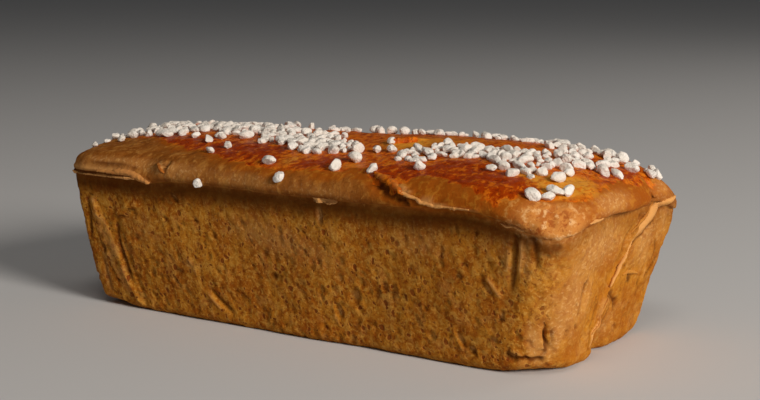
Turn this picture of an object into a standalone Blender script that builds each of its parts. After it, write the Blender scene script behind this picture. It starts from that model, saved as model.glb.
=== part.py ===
"""An uncut brioche loaf, baked in a paper-lined tin, with a glazed crown and pearl sugar.

The origin is the middle of its base. +X runs along the loaf, -Y is a long side and +Z is up.
Blender's units are metres. The sizes below are in millimetres, and MM turns them into metres.
"""

import math
import random

import bmesh
import bpy
import numpy as np
from mathutils import Matrix, Vector

MM = 0.001

# The tin that shaped the loaf
TIN_LENGTH = 250.0
TIN_WIDTH = 115.0
TIN_HEIGHT = 63.5
TIN_SLOPE = 0.183
BASE_EDGE_RADIUS = 4.5
HALF_LENGTH = TIN_LENGTH / 2
HALF_WIDTH = TIN_WIDTH / 2

# How far the left end stands out of the tin's slope at its foot, where the lining bulged
LEFT_FULLNESS = 7.0

# Corner radii at the rim and at the base, by the signs of x and y
CORNER_RADII = {
    (-1, -1): (5.0, 5.0),
    (1, -1): (13.0, 20.0),
    (1, 1): (7.0, 7.0),
    (-1, 1): (11.0, 15.0),
}

# The lip of dough that swelled over the tin's rim: share of its reach, and height from the rim
LIP_PATH = (
    (0.0, -5.0),
    (-0.16, -1.4),
    (-0.18, 0.3),
    (0.12, 1.0),
    (0.66, 1.1),
    (0.93, 2.0),
    (1.0, 4.0),
)
LIP_REACH = 4.2

# The crown: it rolls in from the lip and then domes, more steeply at the ends
ROLL_WIDTH = 7.0
ROLL_RISE = 5.4
CROWN_RISE = 8.9
CROWN_ACROSS = 2.3
CROWN_ALONG = 7.0

# Where the crown swells or sinks: x, y, how wide, how much
CROWN_SWELLS = (
    (-122, -14, 22, 2.2),
    (-82, 10, 22, -1.2),
    (22, -6, 9, 0.9),
    (40, 14, 28, 0.7),
    (52, 33, 46, 1.9),
    (92, -6, 24, 0.7),
)

# Where the crust sags at the rim: x, y, how wide, how deep
RIM_SAGS = (
    (125, -57, 22, 5.4),
    (125, 6, 30, 3.4),
    (127, 56, 17, 7.5),
    (120, 46, 18, 3.2),
    (-76, -57, 7, 1.8),
    (82, -60, 18, -1.8),
    (-127, 40, 26, 2.6),
    (60, 60, 34, 1.4),
    (-60, 60, 26, 1.0),
)

# Where the lip reaches further out or draws back: x, y, how wide, how much
LIP_CHANGES = (
    (-98, -57, 19, 1.0),
    (-74, -57, 9, -0.8),
    (124, -57, 16, -4.2),
    (125, -8, 24, 0.8),
    (125, 25, 7, -3.4),
    (126, 60, 17, -4.2),
    (40, 58, 30, -0.6),
    (-125, 57, 18, -1.0),
    (-125, 10, 12, -1.4),
    (-126, -56, 13, -4.2),
)

# The fold across the right end, from its foot up: height, and place across the end
END_FOLD = ((0, -8), (6, -8), (24, -7), (28, -3), (33, 2), (44, 7), (53, 16), (63, 29))
FOLD_MIDDLE = 8.0
PLEAT_MIDDLE = -105.0

# Where the base's corners lift clear of the table: x, y, how wide, how high
BASE_LIFTS = (
    (-114, -46, 11, 2.4),
    (112, -44, 16, 2.2),
    (113, 46, 9, 2.0),
    (-112, 46, 13, 2.4),
)

# Pearl sugar: where it fell thickly along the crown: x, y, how far it spread each way, how many
SUGAR_PATCHES = (
    (-115, -24, 4, 8, 14),
    (-106, -12, 8, 8, 22),
    (-92, -6, 9, 11, 30),
    (-66, -4, 11, 10, 32),
    (-40, -8, 10, 10, 32),
    (-21, -13, 8, 8, 30),
    (-4, -24, 8, 6, 34),
    (44, -26, 5, 6, 22),
    (53, -13, 6, 4, 16),
    (65, -17, 6, 5, 16),
    (75, -14, 6, 5, 14),
    (92, -21, 9, 9, 30),
    (101, -7, 8, 7, 15),
    (92, 13, 8, 8, 16),
    (24, 31, 32, 4, 26),
    (70, 30, 20, 5, 22),
    (-62, 24, 30, 9, 26),
    (102, 26, 8, 7, 8),
)
PATCH_REACH = 2.0

# Where none of it fell: x, y, radius
BARE_SPOTS = (
    (-92, 2, 5),
    (-78, -17, 6),
    (-54, 3, 7),
    (-30, 4, 6),
    (-36, 16, 6),
    (4, 3, 8),
    (14, 12, 10),
    (26, -4, 11),
    (36, 10, 11),
    (53, 9, 11),
    (69, 8, 11),
    (82, 3, 6),
    (112, -16, 7),
)

# Single nibs that fell apart from the rest: x, y, length
STRAY_NIBS = (
    (-73.5, -27.5, 5.0),
    (-62.5, -32, 5.4),
    (-60, -26, 4.6),
    (-46.5, -37.5, 4.8),
    (-50, -44, 4.6),
    (-13.5, -49.5, 5.6),
    (-2.5, -56, 6.2),
    (18.5, -48.5, 6.0),
    (21.5, -39, 6.2),
    (15, -28, 6.0),
    (36.5, -48, 6.0),
    (23, -26, 4.8),
    (22, -13, 5.6),
    (29, -23.5, 4.6),
    (54, -42, 5.8),
    (92, -37.5, 5.2),
    (107, -50, 6.2),
    (112, -47, 6.0),
    (112, -41.5, 5.8),
    (107.5, -31.5, 5.6),
    (115.5, -38.5, 5.6),
    (107.5, -23.5, 5.4),
    (112.5, -9.5, 6.2),
    (109, 8.5, 5.6),
    (114.5, 9, 5.8),
    (119, 21, 5.4),
    (116, 33, 5.8),
    (119.5, 29, 5.0),
    (85.5, -32.5, 4.8),
    (-119, -42, 3.6),
    (-40, 44, 4.8),
    (34, 46, 5.0),
    (76, 44, 4.4),
    (-96, 38, 5.0),
)
NIB_LENGTHS = (2.8, 5.8)
NIB_SHAPE = (1.08, 0.76, 0.66)
NIB_SHAPE_SPREAD = (0.78, 1.22)
NIB_LEAN = 0.9
NIB_SINK = 0.16
NIB_LUMPS = (0.88, 1.14)

# No nib is nearer than this share of both lengths to the next, or than this to the rim
NIB_SPACING = 0.38
NIB_MARGIN = 5.0
NIB_TRIES = 40

# What seeds where the nibs lie, and what each nib's own number is added to for its shape
PLACE_SEED = 13
SHAPE_SEED = 1000

# A nib caught under the lip at the front: across and up the side, from -1 to 1, and its length
CAUGHT_NIB = (-0.347, 0.955, 4.8)
CAUGHT_NUMBER = 997

# The surface is shaped finely and thinned to this many triangles, and the largest nibs are fused on
GRID_STEP = 1.5
LOAF_TRIANGLES = 5200
FUSED_NIBS = 126

# Thinning leaves the base uneven by less than this, and it is put back in its plane
SEAT_UNEVENNESS = 0.05


def bump(value, middle, width):
    """One at the middle, falling smoothly to nothing over about twice the width."""
    return np.exp(-(((value - middle) / width) ** 2))


def ramp(value, low, high):
    """Nothing below low, one above high, and smooth between them."""
    share = np.clip((value - low) / (high - low), 0.0, 1.0)
    return share * share * (3.0 - 2.0 * share)


def spots(x, y, places):
    """The sum of round, smooth spots, each with its middle, width and strength."""
    total = np.zeros_like(x)
    for middle_x, middle_y, width, strength in places:
        total += strength * np.exp(-((x - middle_x) ** 2 + (y - middle_y) ** 2) / width**2)
    return total


def slow_waves(x, y, z, wavelength, seed):
    """Gentle unevenness between about -1 and 1, the same each time for one seed."""
    draw = random.Random(seed)
    total = np.zeros_like(x)
    count = 7
    for _ in range(count):
        turn = draw.uniform(0, 2 * math.pi)
        tilt = draw.uniform(-1, 1)
        phase = draw.uniform(0, 2 * math.pi)
        pace = 2 * math.pi / (wavelength * draw.uniform(0.7, 1.5))
        flat = math.sqrt(1 - tilt * tilt)
        way = x * math.cos(turn) * flat + y * math.sin(turn) * flat + z * tilt
        total += np.sin(way * pace + phase)
    return total / math.sqrt(count)


def smooth_path(points, steps=8):
    """A Catmull-Rom curve through the points."""
    points = np.array(points, dtype=float)
    padded = np.vstack([2 * points[0] - points[1], points, 2 * points[-1] - points[-2]])
    curve = []
    for before, start, end, after in zip(padded, padded[1:], padded[2:], padded[3:]):
        for step in range(steps):
            t = step / steps
            pull = (end - before) * t
            bend = (2 * before - 5 * start + 4 * end - after) * t**2
            swing = (3 * start - before - 3 * end + after) * t**3
            curve.append(0.5 * (2 * start + pull + bend + swing))
    curve.append(points[-1])
    return np.array(curve)


def side_path():
    """The side from base to lip: the length along it, then rows of outset, height and lip share."""
    lean = math.atan(TIN_SLOPE)
    foot = -TIN_HEIGHT * TIN_SLOPE
    centre = foot - BASE_EDGE_RADIUS * (1 - math.sin(lean)) / math.cos(lean)
    rows = []
    for turn in np.linspace(-math.pi / 2, -lean, 7):
        out = centre + BASE_EDGE_RADIUS * math.cos(turn)
        rows.append((out, BASE_EDGE_RADIUS * (1 + math.sin(turn)), 0.0))
    for share, above in smooth_path(LIP_PATH):
        rows.append((min(above * TIN_SLOPE, 0.0), TIN_HEIGHT + above, share))
    rows = np.array(rows)
    drawn_out = rows[:, 0] + rows[:, 2] * LIP_REACH
    lengths = np.hypot(np.diff(drawn_out), np.diff(rows[:, 1]))
    return np.concatenate([[0.0], np.cumsum(lengths)]), rows


def corner_radius(u, v, rise):
    """The radius of the nearest corner, between its values at the base and at the rim."""
    radius = np.zeros_like(u)
    for (sign_x, sign_y), (at_rim, at_base) in CORNER_RADII.items():
        here = (np.where(u < 0, -1, 1) == sign_x) & (np.where(v < 0, -1, 1) == sign_y)
        radius = np.where(here, at_base + (at_rim - at_base) * rise, radius)
    return radius


def rounded_outline(u, v, half_length, half_width, radius):
    """A point of the square from -1 to 1, moved into a rectangle with round corners."""
    x = u * half_length
    y = v * half_width
    core_x = np.clip(x, radius - half_length, half_length - radius)
    core_y = np.clip(y, radius - half_width, half_width - radius)
    dx = x - core_x
    dy = y - core_y
    length = np.maximum(np.hypot(dx, dy), 1e-9)
    fit = np.maximum(np.abs(dx), np.abs(dy)) / length
    return core_x + dx * fit, core_y + dy * fit


def inset_from_outline(x, y, radius):
    """How far a point lies inside the rim's outline."""
    across_x = np.abs(x) - (HALF_LENGTH - radius)
    across_y = np.abs(y) - (HALF_WIDTH - radius)
    outside = np.hypot(np.maximum(across_x, 0), np.maximum(across_y, 0))
    inside = np.minimum(np.maximum(across_x, across_y), 0)
    return np.maximum(radius - outside - inside, 0)


def crown_height(x, y, inset):
    """The height of the crust above the base, from the lip's widest line to the middle."""
    share = 1 - np.clip(inset / ROLL_WIDTH, 0, 1)
    roll = ROLL_RISE * np.sqrt(1 - share**2)
    across = 1 - np.minimum(np.abs(y) / HALF_WIDTH, 1) ** CROWN_ACROSS
    along = 1 - np.minimum(np.abs(x) / HALF_LENGTH, 1) ** CROWN_ALONG
    lumps = 0.5 * slow_waves(x, y, 0 * x, 46, 3) * ramp(inset, 2, 16)
    lumps += spots(x, y, CROWN_SWELLS)
    seam = 1.6 * bump(y, 25 + 0.16 * (HALF_LENGTH - x), 5) * ramp(x, 96, 122)
    return TIN_HEIGHT + LIP_PATH[-1][1] + roll + CROWN_RISE * across * along + lumps - seam


def left_pleat_line(z):
    """Where the ridge of the front's left pleat runs, by height."""
    return -95 - 0.39 * (z - 2)


def end_fold_line(z):
    """Where the ridge of the right end's fold runs, by height."""
    return np.interp(z, [height for height, _ in END_FOLD], [place for _, place in END_FOLD])


def combed(u, v, height):
    """The cube's grid slid sideways, so that its columns run along the two slanted folds."""
    pleat = (left_pleat_line(height) - PLEAT_MIDDLE) * bump(u * HALF_LENGTH, PLEAT_MIDDLE, 20)
    fold = (end_fold_line(height) - FOLD_MIDDLE) * bump(v * HALF_WIDTH, FOLD_MIDDLE, 26)
    slid_u = u + pleat / HALF_LENGTH * np.clip(-v, 0, 1) ** 8 * (1 - u * u)
    slid_v = v + fold / HALF_WIDTH * np.clip(u, 0, 1) ** 8 * (1 - v * v)
    return slid_u, slid_v


def left_pleat(x, z):
    """The lining's pleat at the left end of the front: a slanted ridge between two creases."""
    ridge_x = left_pleat_line(z)
    inner_x = -94 - 0.225 * (z - 5)
    height = ramp(z, -2, 6) * ramp(54 - z, 0, 8)
    ridge = 1.3 * bump(x, ridge_x, 1.7)
    outer_crease = 1.7 * bump(x, ridge_x - 3.2, 1.5)
    inner_crease = 1.0 * bump(x, inner_x + 2, 1.0)
    flap = 2.2 * ramp(ridge_x - 4 - x, 0, 8)
    return (ridge - outer_crease - inner_crease + flap) * height


def right_creases(x, z):
    """Two upright creases of the lining near the right end of the front."""
    long_crease = 1.2 * bump(x, 105 - 0.19 * (56 - z), 0.9) * ramp(z, 32, 42) * ramp(60 - z, 0, 3)
    short_crease = 1.0 * bump(x, 112.3, 0.9) * ramp(z, 45, 50) * ramp(60 - z, 0, 3)
    return -long_crease - short_crease


def corner_slot(x, y, z):
    """A short slot at the foot of the near right corner."""
    along = (x - 112.2) * 0.7 + (y + 41.5) * 0.7 + 0.35 * (z - 14.5)
    return -2.6 * bump(along, 0, 1.4) * bump(z, 15, 6.5)


def end_seam(y, z):
    """The fold across the right end: a raised pleat above, and a step and notch at its foot."""
    line = end_fold_line(z)
    pleat = 1.7 * bump(y, line, 1.8) * ramp(z, 18, 30)
    groove = 1.5 * bump(y, line + 4.4, 2.2) * ramp(z, 6, 20)
    shoulder = 0.9 * ramp(line + 3 - y, 0, 5) * ramp(40 - z, 0, 20) * ramp(y, -46, -30)
    notch = 6.0 * bump(y, line + 9, 5.0) * ramp(17 - z, 0, 16)
    return pleat - groove + shoulder - notch


def left_end_folds(y, z):
    """The lining's folds on the left end, like those on the right but lower."""
    line = 12 - 0.42 * (z - 30)
    fold = 1.4 * bump(y, line, 2.0) - 1.2 * bump(y, line - 4, 1.8)
    crease = 1.0 * bump(y, 38 + 0.1 * z, 1.2)
    return fold * ramp(z, 4, 14) * ramp(60 - z, 0, 10) - crease * ramp(z, 20, 34)


def back_creases(x, z):
    """Upright creases of the lining near both ends of the back."""
    left = bump(x, -101 - 0.2 * (z - 30), 1.4) * ramp(z, 10, 24)
    right = bump(x, 99 + 0.12 * (z - 30), 1.2) * ramp(z, 24, 36)
    return -(1.3 * left + 1.1 * right) * ramp(60 - z, 0, 4)


def rim_fold(x, z):
    """The torn fold that runs slantwise down the lip near the middle of the front."""
    line = 44.5 + 2.2 * (73.2 - z)
    step = 1.3 * ramp(x, line - 1.2, line + 1.2) * ramp(line + 16 - x, 0, 14)
    return step * ramp(z, 62, 66)


def side_relief(x, y, z, out_x, out_y, lip):
    """How far the side stands out of its plain form, along its outward direction."""
    front = ramp(-out_y, 0.7, 0.97)
    back = ramp(out_y, 0.7, 0.97)
    right = ramp(out_x, 0.7, 0.97)
    left = ramp(-out_x, 0.7, 0.97)
    near_corner = ramp(out_x, 0.2, 0.6) * ramp(-out_y, 0.2, 0.6)
    wall = 1 - ramp(np.abs(lip), 0.0, 0.3)
    relief = front * (left_pleat(x, z) + right_creases(x, z) + rim_fold(x, z))
    relief += right * end_seam(y, z) * wall
    relief += left * left_end_folds(y, z) * wall
    relief += back * back_creases(x, z) * wall
    relief += near_corner * corner_slot(x, y, z)
    relief += 0.45 * slow_waves(x, y, z, 44, 8)
    return relief


def shaped(u, v, w):
    """The loaf's surface for points of a cube from -1 to 1, in millimetres."""
    along, rows = side_path()
    on_top = w > 1 - 1e-6
    here = (w + 1) / 2 * along[-1]
    out, height, lip = (np.interp(here, along, column) for column in rows.T)
    u, v = combed(u, v, height)
    rise = np.clip(height / TIN_HEIGHT, 0, 1)
    edge = (np.abs(u) ** 8 + np.abs(v) ** 8) ** 0.125
    flat_radius = corner_radius(u, v, 1.0)
    flat_x, flat_y = rounded_outline(u, v, HALF_LENGTH, HALF_WIDTH, flat_radius)
    reach = LIP_REACH + spots(flat_x, flat_y, LIP_CHANGES)
    spread = out + lip * reach * edge**2
    radius = corner_radius(u, v, rise)
    fullness = np.where(u < 0, LEFT_FULLNESS * ramp(1 - rise, 0, 0.8), 0.0)
    x, y = rounded_outline(u, v, HALF_LENGTH + spread + fullness, HALF_WIDTH + spread, radius)
    sag = spots(flat_x, flat_y, RIM_SAGS)
    inset = inset_from_outline(flat_x, flat_y, flat_radius)
    z = height - sag * ramp(height, 26, TIN_HEIGHT - 2)
    z = np.where(on_top, crown_height(flat_x, flat_y, inset) - sag, z)
    out_x = np.sign(u) * (np.abs(u) / edge) ** 7
    out_y = np.sign(v) * (np.abs(v) / edge) ** 7
    relief = side_relief(x, y, z, out_x, out_y, lip) * edge**6
    relief *= np.where(on_top, np.exp(-inset / 4), 1.0)
    x = x + out_x * relief
    y = y + out_y * relief
    z = z + spots(x, y, BASE_LIFTS) * ramp(14 - z, 0, 14)
    return x, y, z


def cut_cube(counts):
    """A cube of two units whose sides are cut into a grid, so many to each axis."""
    mesh = bmesh.new()
    bmesh.ops.create_cube(mesh, size=2)
    for axis, count in enumerate(counts):
        edges = []
        for edge in mesh.edges:
            start, end = edge.verts
            if abs(start.co[axis] - end.co[axis]) > 1e-6:
                edges.append(edge)
        bmesh.ops.subdivide_edges(mesh, edges=edges, cuts=count - 1, use_grid_fill=True)
    return mesh


def fits(x, y, length, nibs):
    """Whether a nib would lie inside the rim, off the bare spots and clear of the others' middles."""
    if abs(x) > HALF_LENGTH - NIB_MARGIN or abs(y) > HALF_WIDTH - NIB_MARGIN:
        return False
    for bare_x, bare_y, radius in BARE_SPOTS:
        if math.hypot(x - bare_x, y - bare_y) < radius:
            return False
    for other_x, other_y, other_length, _ in nibs:
        if math.hypot(x - other_x, y - other_y) < NIB_SPACING * (length + other_length):
            return False
    return True


def sugar_nibs():
    """Every nib on the crown, largest first: x, y, length, and its own number."""
    draw = random.Random(PLACE_SEED)
    nibs = [(x, y, length, number) for number, (x, y, length) in enumerate(STRAY_NIBS)]
    for middle_x, middle_y, spread_x, spread_y, count in SUGAR_PATCHES:
        for _ in range(count):
            length = draw.uniform(*NIB_LENGTHS)
            for _ in range(NIB_TRIES):
                across = draw.gauss(0, 1)
                up = draw.gauss(0, 1)
                x = middle_x + across * spread_x
                y = middle_y + up * spread_y
                if math.hypot(across, up) < PATCH_REACH and fits(x, y, length, nibs):
                    nibs.append((x, y, length, len(nibs)))
                    break
    return sorted(nibs, key=lambda nib: -nib[2])


def surface_frame(u, v, w):
    """A point of the surface, and the turn that stands +Z along the outward direction there."""
    step = 0.004
    on_top = w > 1 - 1e-6
    across = (0, step) if on_top else (step, 0)
    points_u = np.array([u, u + step, u - step, u, u])
    points_v = np.array([v, v, v, v + across[1], v - across[1]])
    points_w = np.array([w, w, w, w + across[0], w - across[0]])
    points = np.column_stack(shaped(points_u, points_v, points_w))
    along = Vector(points[1] - points[2])
    up = Vector(points[3] - points[4])
    return Vector(points[0]), along.cross(up).to_track_quat("Z", "Y")


def make_nib(middle, turn, length, number):
    """One irregular nib, rounded and a little flat, with its long side along the crust."""
    draw = random.Random(SHAPE_SEED + number)
    mesh = bmesh.new()
    bmesh.ops.create_uvsphere(mesh, u_segments=5, v_segments=4, radius=0.5)
    spin = Matrix.Rotation(draw.uniform(0, 2 * math.pi), 3, "Z")
    lean = Matrix.Rotation(draw.uniform(-NIB_LEAN, NIB_LEAN), 3, "X")
    sizes = [share * draw.uniform(*NIB_SHAPE_SPREAD) * length for share in NIB_SHAPE]
    lift = sizes[2] * (0.5 - NIB_SINK)
    for vertex in mesh.verts:
        lump = vertex.co * draw.uniform(*NIB_LUMPS)
        lump = Vector([value * size for value, size in zip(lump, sizes)])
        vertex.co = (middle + turn @ (spin @ (lean @ lump) + Vector((0, 0, lift)))) * MM
    data = bpy.data.meshes.new("sugar_nib")
    mesh.to_mesh(data)
    mesh.free()
    return bpy.data.objects.new("sugar_nib", data)


def make_sugar():
    """The nibs that are fused to the crust, in a collection of their own."""
    sugar = bpy.data.collections.new("pearl_sugar")
    bpy.context.scene.collection.children.link(sugar)
    for x, y, length, number in sugar_nibs()[:FUSED_NIBS]:
        middle, turn = surface_frame(x / HALF_LENGTH, y / HALF_WIDTH, 1.0)
        sugar.objects.link(make_nib(middle, turn, length, number))
    across, up, length = CAUGHT_NIB
    middle, turn = surface_frame(across, -1.0, up)
    sugar.objects.link(make_nib(middle, turn, length, CAUGHT_NUMBER))
    return sugar


def keep_largest_shell(data):
    """Drops loose scraps and the walls of sealed hollows."""
    mesh = bmesh.new()
    mesh.from_mesh(data)
    unseen = set(mesh.faces)
    shells = []
    while unseen:
        shell = [unseen.pop()]
        for face in shell:
            for edge in face.edges:
                fresh = [other for other in edge.link_faces if other in unseen]
                unseen.difference_update(fresh)
                shell.extend(fresh)
        shells.append(shell)
    shells.sort(key=len)
    for shell in shells[:-1]:
        bmesh.ops.delete(mesh, geom=shell, context="FACES")
    mesh.to_mesh(data)
    mesh.free()


def flatten_seat(data):
    """Puts the base back in its plane, so that the loaf stands still."""
    for vertex in data.vertices:
        if vertex.co.z < SEAT_UNEVENNESS * MM:
            vertex.co.z = 0.0


def fuse(loaf, sugar):
    """Thins the loaf and joins the nibs to it by one union, and leaves no nib behind."""
    union = loaf.modifiers.new("fuse_sugar", "BOOLEAN")
    union.operation = "UNION"
    union.operand_type = "COLLECTION"
    union.collection = sugar
    union.solver = "MANIFOLD"
    seen = loaf.evaluated_get(bpy.context.evaluated_depsgraph_get())
    whole = bpy.data.meshes.new_from_object(seen)
    loaf.modifiers.clear()
    loaf.data = whole
    keep_largest_shell(whole)
    flatten_seat(whole)
    for nib in list(sugar.objects):
        bpy.data.objects.remove(nib)
    bpy.data.collections.remove(sugar)


def make_loaf(material):
    """The loaf without its sugar, as one closed surface with the modifier that thins it."""
    lengths = (TIN_LENGTH, TIN_WIDTH, side_path()[0][-1])
    mesh = cut_cube([round(length / GRID_STEP) for length in lengths])
    u, v, w = np.array([vertex.co[:] for vertex in mesh.verts]).T
    places = np.column_stack(shaped(u, v, w)) * MM
    for vertex, place in zip(mesh.verts, places):
        vertex.co = place
    bmesh.ops.triangulate(mesh, faces=mesh.faces[:])
    data = bpy.data.meshes.new("brioche_loaf")
    mesh.to_mesh(data)
    mesh.free()
    loaf = bpy.data.objects.new("brioche_loaf", data)
    loaf.data.materials.append(material)
    brioche = bpy.data.collections.new("brioche")
    bpy.context.scene.collection.children.link(brioche)
    brioche.objects.link(loaf)
    thin = loaf.modifiers.new("thin", "DECIMATE")
    thin.ratio = LOAF_TRIANGLES / len(data.polygons)
    return loaf


def crust_material():
    material = bpy.data.materials.new("baked_crust")
    material.use_nodes = True
    surface = material.node_tree.nodes["Principled BSDF"]
    surface.inputs["Base Color"].default_value = (0.45, 0.2, 0.06, 1)
    surface.inputs["Roughness"].default_value = 0.6
    surface.inputs["Metallic"].default_value = 0.0
    return material


def main():
    for item in list(bpy.data.objects):
        bpy.data.objects.remove(item)
    loaf = make_loaf(crust_material())
    fuse(loaf, make_sugar())


main()
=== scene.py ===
"""Dresses the brioche loaf: a baked crust with its glaze, pits and folds, and the pearl sugar."""

import math
import random

import bmesh
import bpy
import numpy as np
from mathutils import Matrix, Vector
from mathutils.bvhtree import BVHTree


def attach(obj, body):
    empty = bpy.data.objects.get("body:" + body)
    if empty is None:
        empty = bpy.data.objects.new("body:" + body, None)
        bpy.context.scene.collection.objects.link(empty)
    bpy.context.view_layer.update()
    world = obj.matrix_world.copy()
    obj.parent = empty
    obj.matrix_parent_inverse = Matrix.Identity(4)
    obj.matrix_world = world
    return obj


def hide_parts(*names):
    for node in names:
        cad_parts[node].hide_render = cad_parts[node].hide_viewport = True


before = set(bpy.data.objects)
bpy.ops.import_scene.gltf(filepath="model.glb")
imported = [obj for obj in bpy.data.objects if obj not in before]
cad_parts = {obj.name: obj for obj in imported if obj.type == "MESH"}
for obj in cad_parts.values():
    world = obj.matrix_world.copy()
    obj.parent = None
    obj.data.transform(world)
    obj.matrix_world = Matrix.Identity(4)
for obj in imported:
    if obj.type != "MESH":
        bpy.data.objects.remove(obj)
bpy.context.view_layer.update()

MM = 0.001

# The tin that shaped the loaf, in millimetres as all sizes below
TIN_LENGTH = 250.0
TIN_WIDTH = 115.0
TIN_HEIGHT = 63.5
TIN_SLOPE = 0.183
BASE_EDGE_RADIUS = 4.5
HALF_LENGTH = TIN_LENGTH / 2
HALF_WIDTH = TIN_WIDTH / 2

# How far the left end stands out of the tin's slope at its foot, where the lining bulged
LEFT_FULLNESS = 7.0

# Corner radii at the rim and at the base, by the signs of x and y
CORNER_RADII = {
    (-1, -1): (5.0, 5.0),
    (1, -1): (13.0, 20.0),
    (1, 1): (7.0, 7.0),
    (-1, 1): (11.0, 15.0),
}

# The lip of dough that swelled over the tin's rim: share of its reach, and height from the rim
LIP_PATH = (
    (0.0, -5.0),
    (-0.16, -1.4),
    (-0.18, 0.3),
    (0.12, 1.0),
    (0.66, 1.1),
    (0.93, 2.0),
    (1.0, 4.0),
)
LIP_REACH = 4.2

# The crown: it rolls in from the lip and then domes, more steeply at the ends
ROLL_WIDTH = 7.0
ROLL_RISE = 5.4
CROWN_RISE = 8.9
CROWN_ACROSS = 2.3
CROWN_ALONG = 7.0

# Where the crown swells or sinks: x, y, how wide, how much
CROWN_SWELLS = (
    (-122, -14, 22, 2.2),
    (-82, 10, 22, -1.2),
    (22, -6, 9, 0.9),
    (40, 14, 28, 0.7),
    (52, 33, 46, 1.9),
    (92, -6, 24, 0.7),
)

# Where the crust sags at the rim: x, y, how wide, how deep
RIM_SAGS = (
    (125, -57, 22, 5.4),
    (125, 6, 30, 3.4),
    (127, 56, 17, 7.5),
    (120, 46, 18, 3.2),
    (-76, -57, 7, 1.8),
    (82, -60, 18, -1.8),
    (-127, 40, 26, 2.6),
    (60, 60, 34, 1.4),
    (-60, 60, 26, 1.0),
)

# Where the lip reaches further out or draws back: x, y, how wide, how much
LIP_CHANGES = (
    (-98, -57, 19, 1.0),
    (-74, -57, 9, -0.8),
    (124, -57, 16, -4.2),
    (125, -8, 24, 0.8),
    (125, 25, 7, -3.4),
    (126, 60, 17, -4.2),
    (40, 58, 30, -0.6),
    (-125, 57, 18, -1.0),
    (-125, 10, 12, -1.4),
    (-126, -56, 13, -4.2),
)

# The fold across the right end, from its foot up: height, and place across the end
END_FOLD = ((0, -8), (6, -8), (24, -7), (28, -3), (33, 2), (44, 7), (53, 16), (63, 29))
FOLD_MIDDLE = 8.0
PLEAT_MIDDLE = -105.0

# Where the base's corners lift clear of the table: x, y, how wide, how high
BASE_LIFTS = (
    (-114, -46, 11, 2.4),
    (112, -44, 16, 2.2),
    (113, 46, 9, 2.0),
    (-112, 46, 13, 2.4),
)

# Pearl sugar: where it fell thickly along the crown: x, y, how far it spread each way, how many
SUGAR_PATCHES = (
    (-115, -24, 4, 8, 14),
    (-106, -12, 8, 8, 22),
    (-92, -6, 9, 11, 30),
    (-66, -4, 11, 10, 32),
    (-40, -8, 10, 10, 32),
    (-21, -13, 8, 8, 30),
    (-4, -24, 8, 6, 34),
    (44, -26, 5, 6, 22),
    (53, -13, 6, 4, 16),
    (65, -17, 6, 5, 16),
    (75, -14, 6, 5, 14),
    (92, -21, 9, 9, 30),
    (101, -7, 8, 7, 15),
    (92, 13, 8, 8, 16),
    (24, 31, 32, 4, 26),
    (70, 30, 20, 5, 22),
    (-62, 24, 30, 9, 26),
    (102, 26, 8, 7, 8),
)
PATCH_REACH = 2.0

# Where none of it fell: x, y, radius
BARE_SPOTS = (
    (-92, 2, 5),
    (-78, -17, 6),
    (-54, 3, 7),
    (-30, 4, 6),
    (-36, 16, 6),
    (4, 3, 8),
    (14, 12, 10),
    (26, -4, 11),
    (36, 10, 11),
    (53, 9, 11),
    (69, 8, 11),
    (82, 3, 6),
    (112, -16, 7),
)

# Single nibs that fell apart from the rest: x, y, length
STRAY_NIBS = (
    (-73.5, -27.5, 5.0),
    (-62.5, -32, 5.4),
    (-60, -26, 4.6),
    (-46.5, -37.5, 4.8),
    (-50, -44, 4.6),
    (-13.5, -49.5, 5.6),
    (-2.5, -56, 6.2),
    (18.5, -48.5, 6.0),
    (21.5, -39, 6.2),
    (15, -28, 6.0),
    (36.5, -48, 6.0),
    (23, -26, 4.8),
    (22, -13, 5.6),
    (29, -23.5, 4.6),
    (54, -42, 5.8),
    (92, -37.5, 5.2),
    (107, -50, 6.2),
    (112, -47, 6.0),
    (112, -41.5, 5.8),
    (107.5, -31.5, 5.6),
    (115.5, -38.5, 5.6),
    (107.5, -23.5, 5.4),
    (112.5, -9.5, 6.2),
    (109, 8.5, 5.6),
    (114.5, 9, 5.8),
    (119, 21, 5.4),
    (116, 33, 5.8),
    (119.5, 29, 5.0),
    (85.5, -32.5, 4.8),
    (-119, -42, 3.6),
    (-40, 44, 4.8),
    (34, 46, 5.0),
    (76, 44, 4.4),
    (-96, 38, 5.0),
)
NIB_LENGTHS = (2.8, 5.8)
NIB_SHAPE = (1.08, 0.76, 0.66)
NIB_SHAPE_SPREAD = (0.78, 1.22)
NIB_LEAN = 0.9
NIB_SINK = 0.16

# No nib is nearer than this share of both lengths to the next, or than this to the rim
NIB_SPACING = 0.38
NIB_MARGIN = 5.0
NIB_TRIES = 40

# What seeds where the nibs lie, and what each nib's own number is added to for its shape
PLACE_SEED = 13
SHAPE_SEED = 1000

# A nib caught under the lip at the front: across and up the side, from -1 to 1, and its length
CAUGHT_NIB = (-0.347, 0.955, 4.8)
CAUGHT_NUMBER = 997

# Each nib is a pebble cut by this many soft flats, so near its middle, and reaches so far where none
# cuts it, both as shares of its length. It is finer than the solid's
NIB_FLATS = 9
NIB_CUTS = (0.30, 0.54)
NIB_REACH = 0.56
NIB_SOFTNESS = 40
NIB_DETAIL = 3

# A nib's bulges and grains: their size and seed on a ball of ten units, and their height
NIB_BALL = 10
NIB_BULGES = (6.0, 5)
NIB_LUMPINESS = 0.04
NIB_GRAINS = (2.6, 6)
NIB_ROUGHNESS = 0.06

# The crust's grid, and the height in metres below which the base is flat and has none
CRUST_STEP = 0.955
FLAT_HEIGHT = 1e-7

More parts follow.
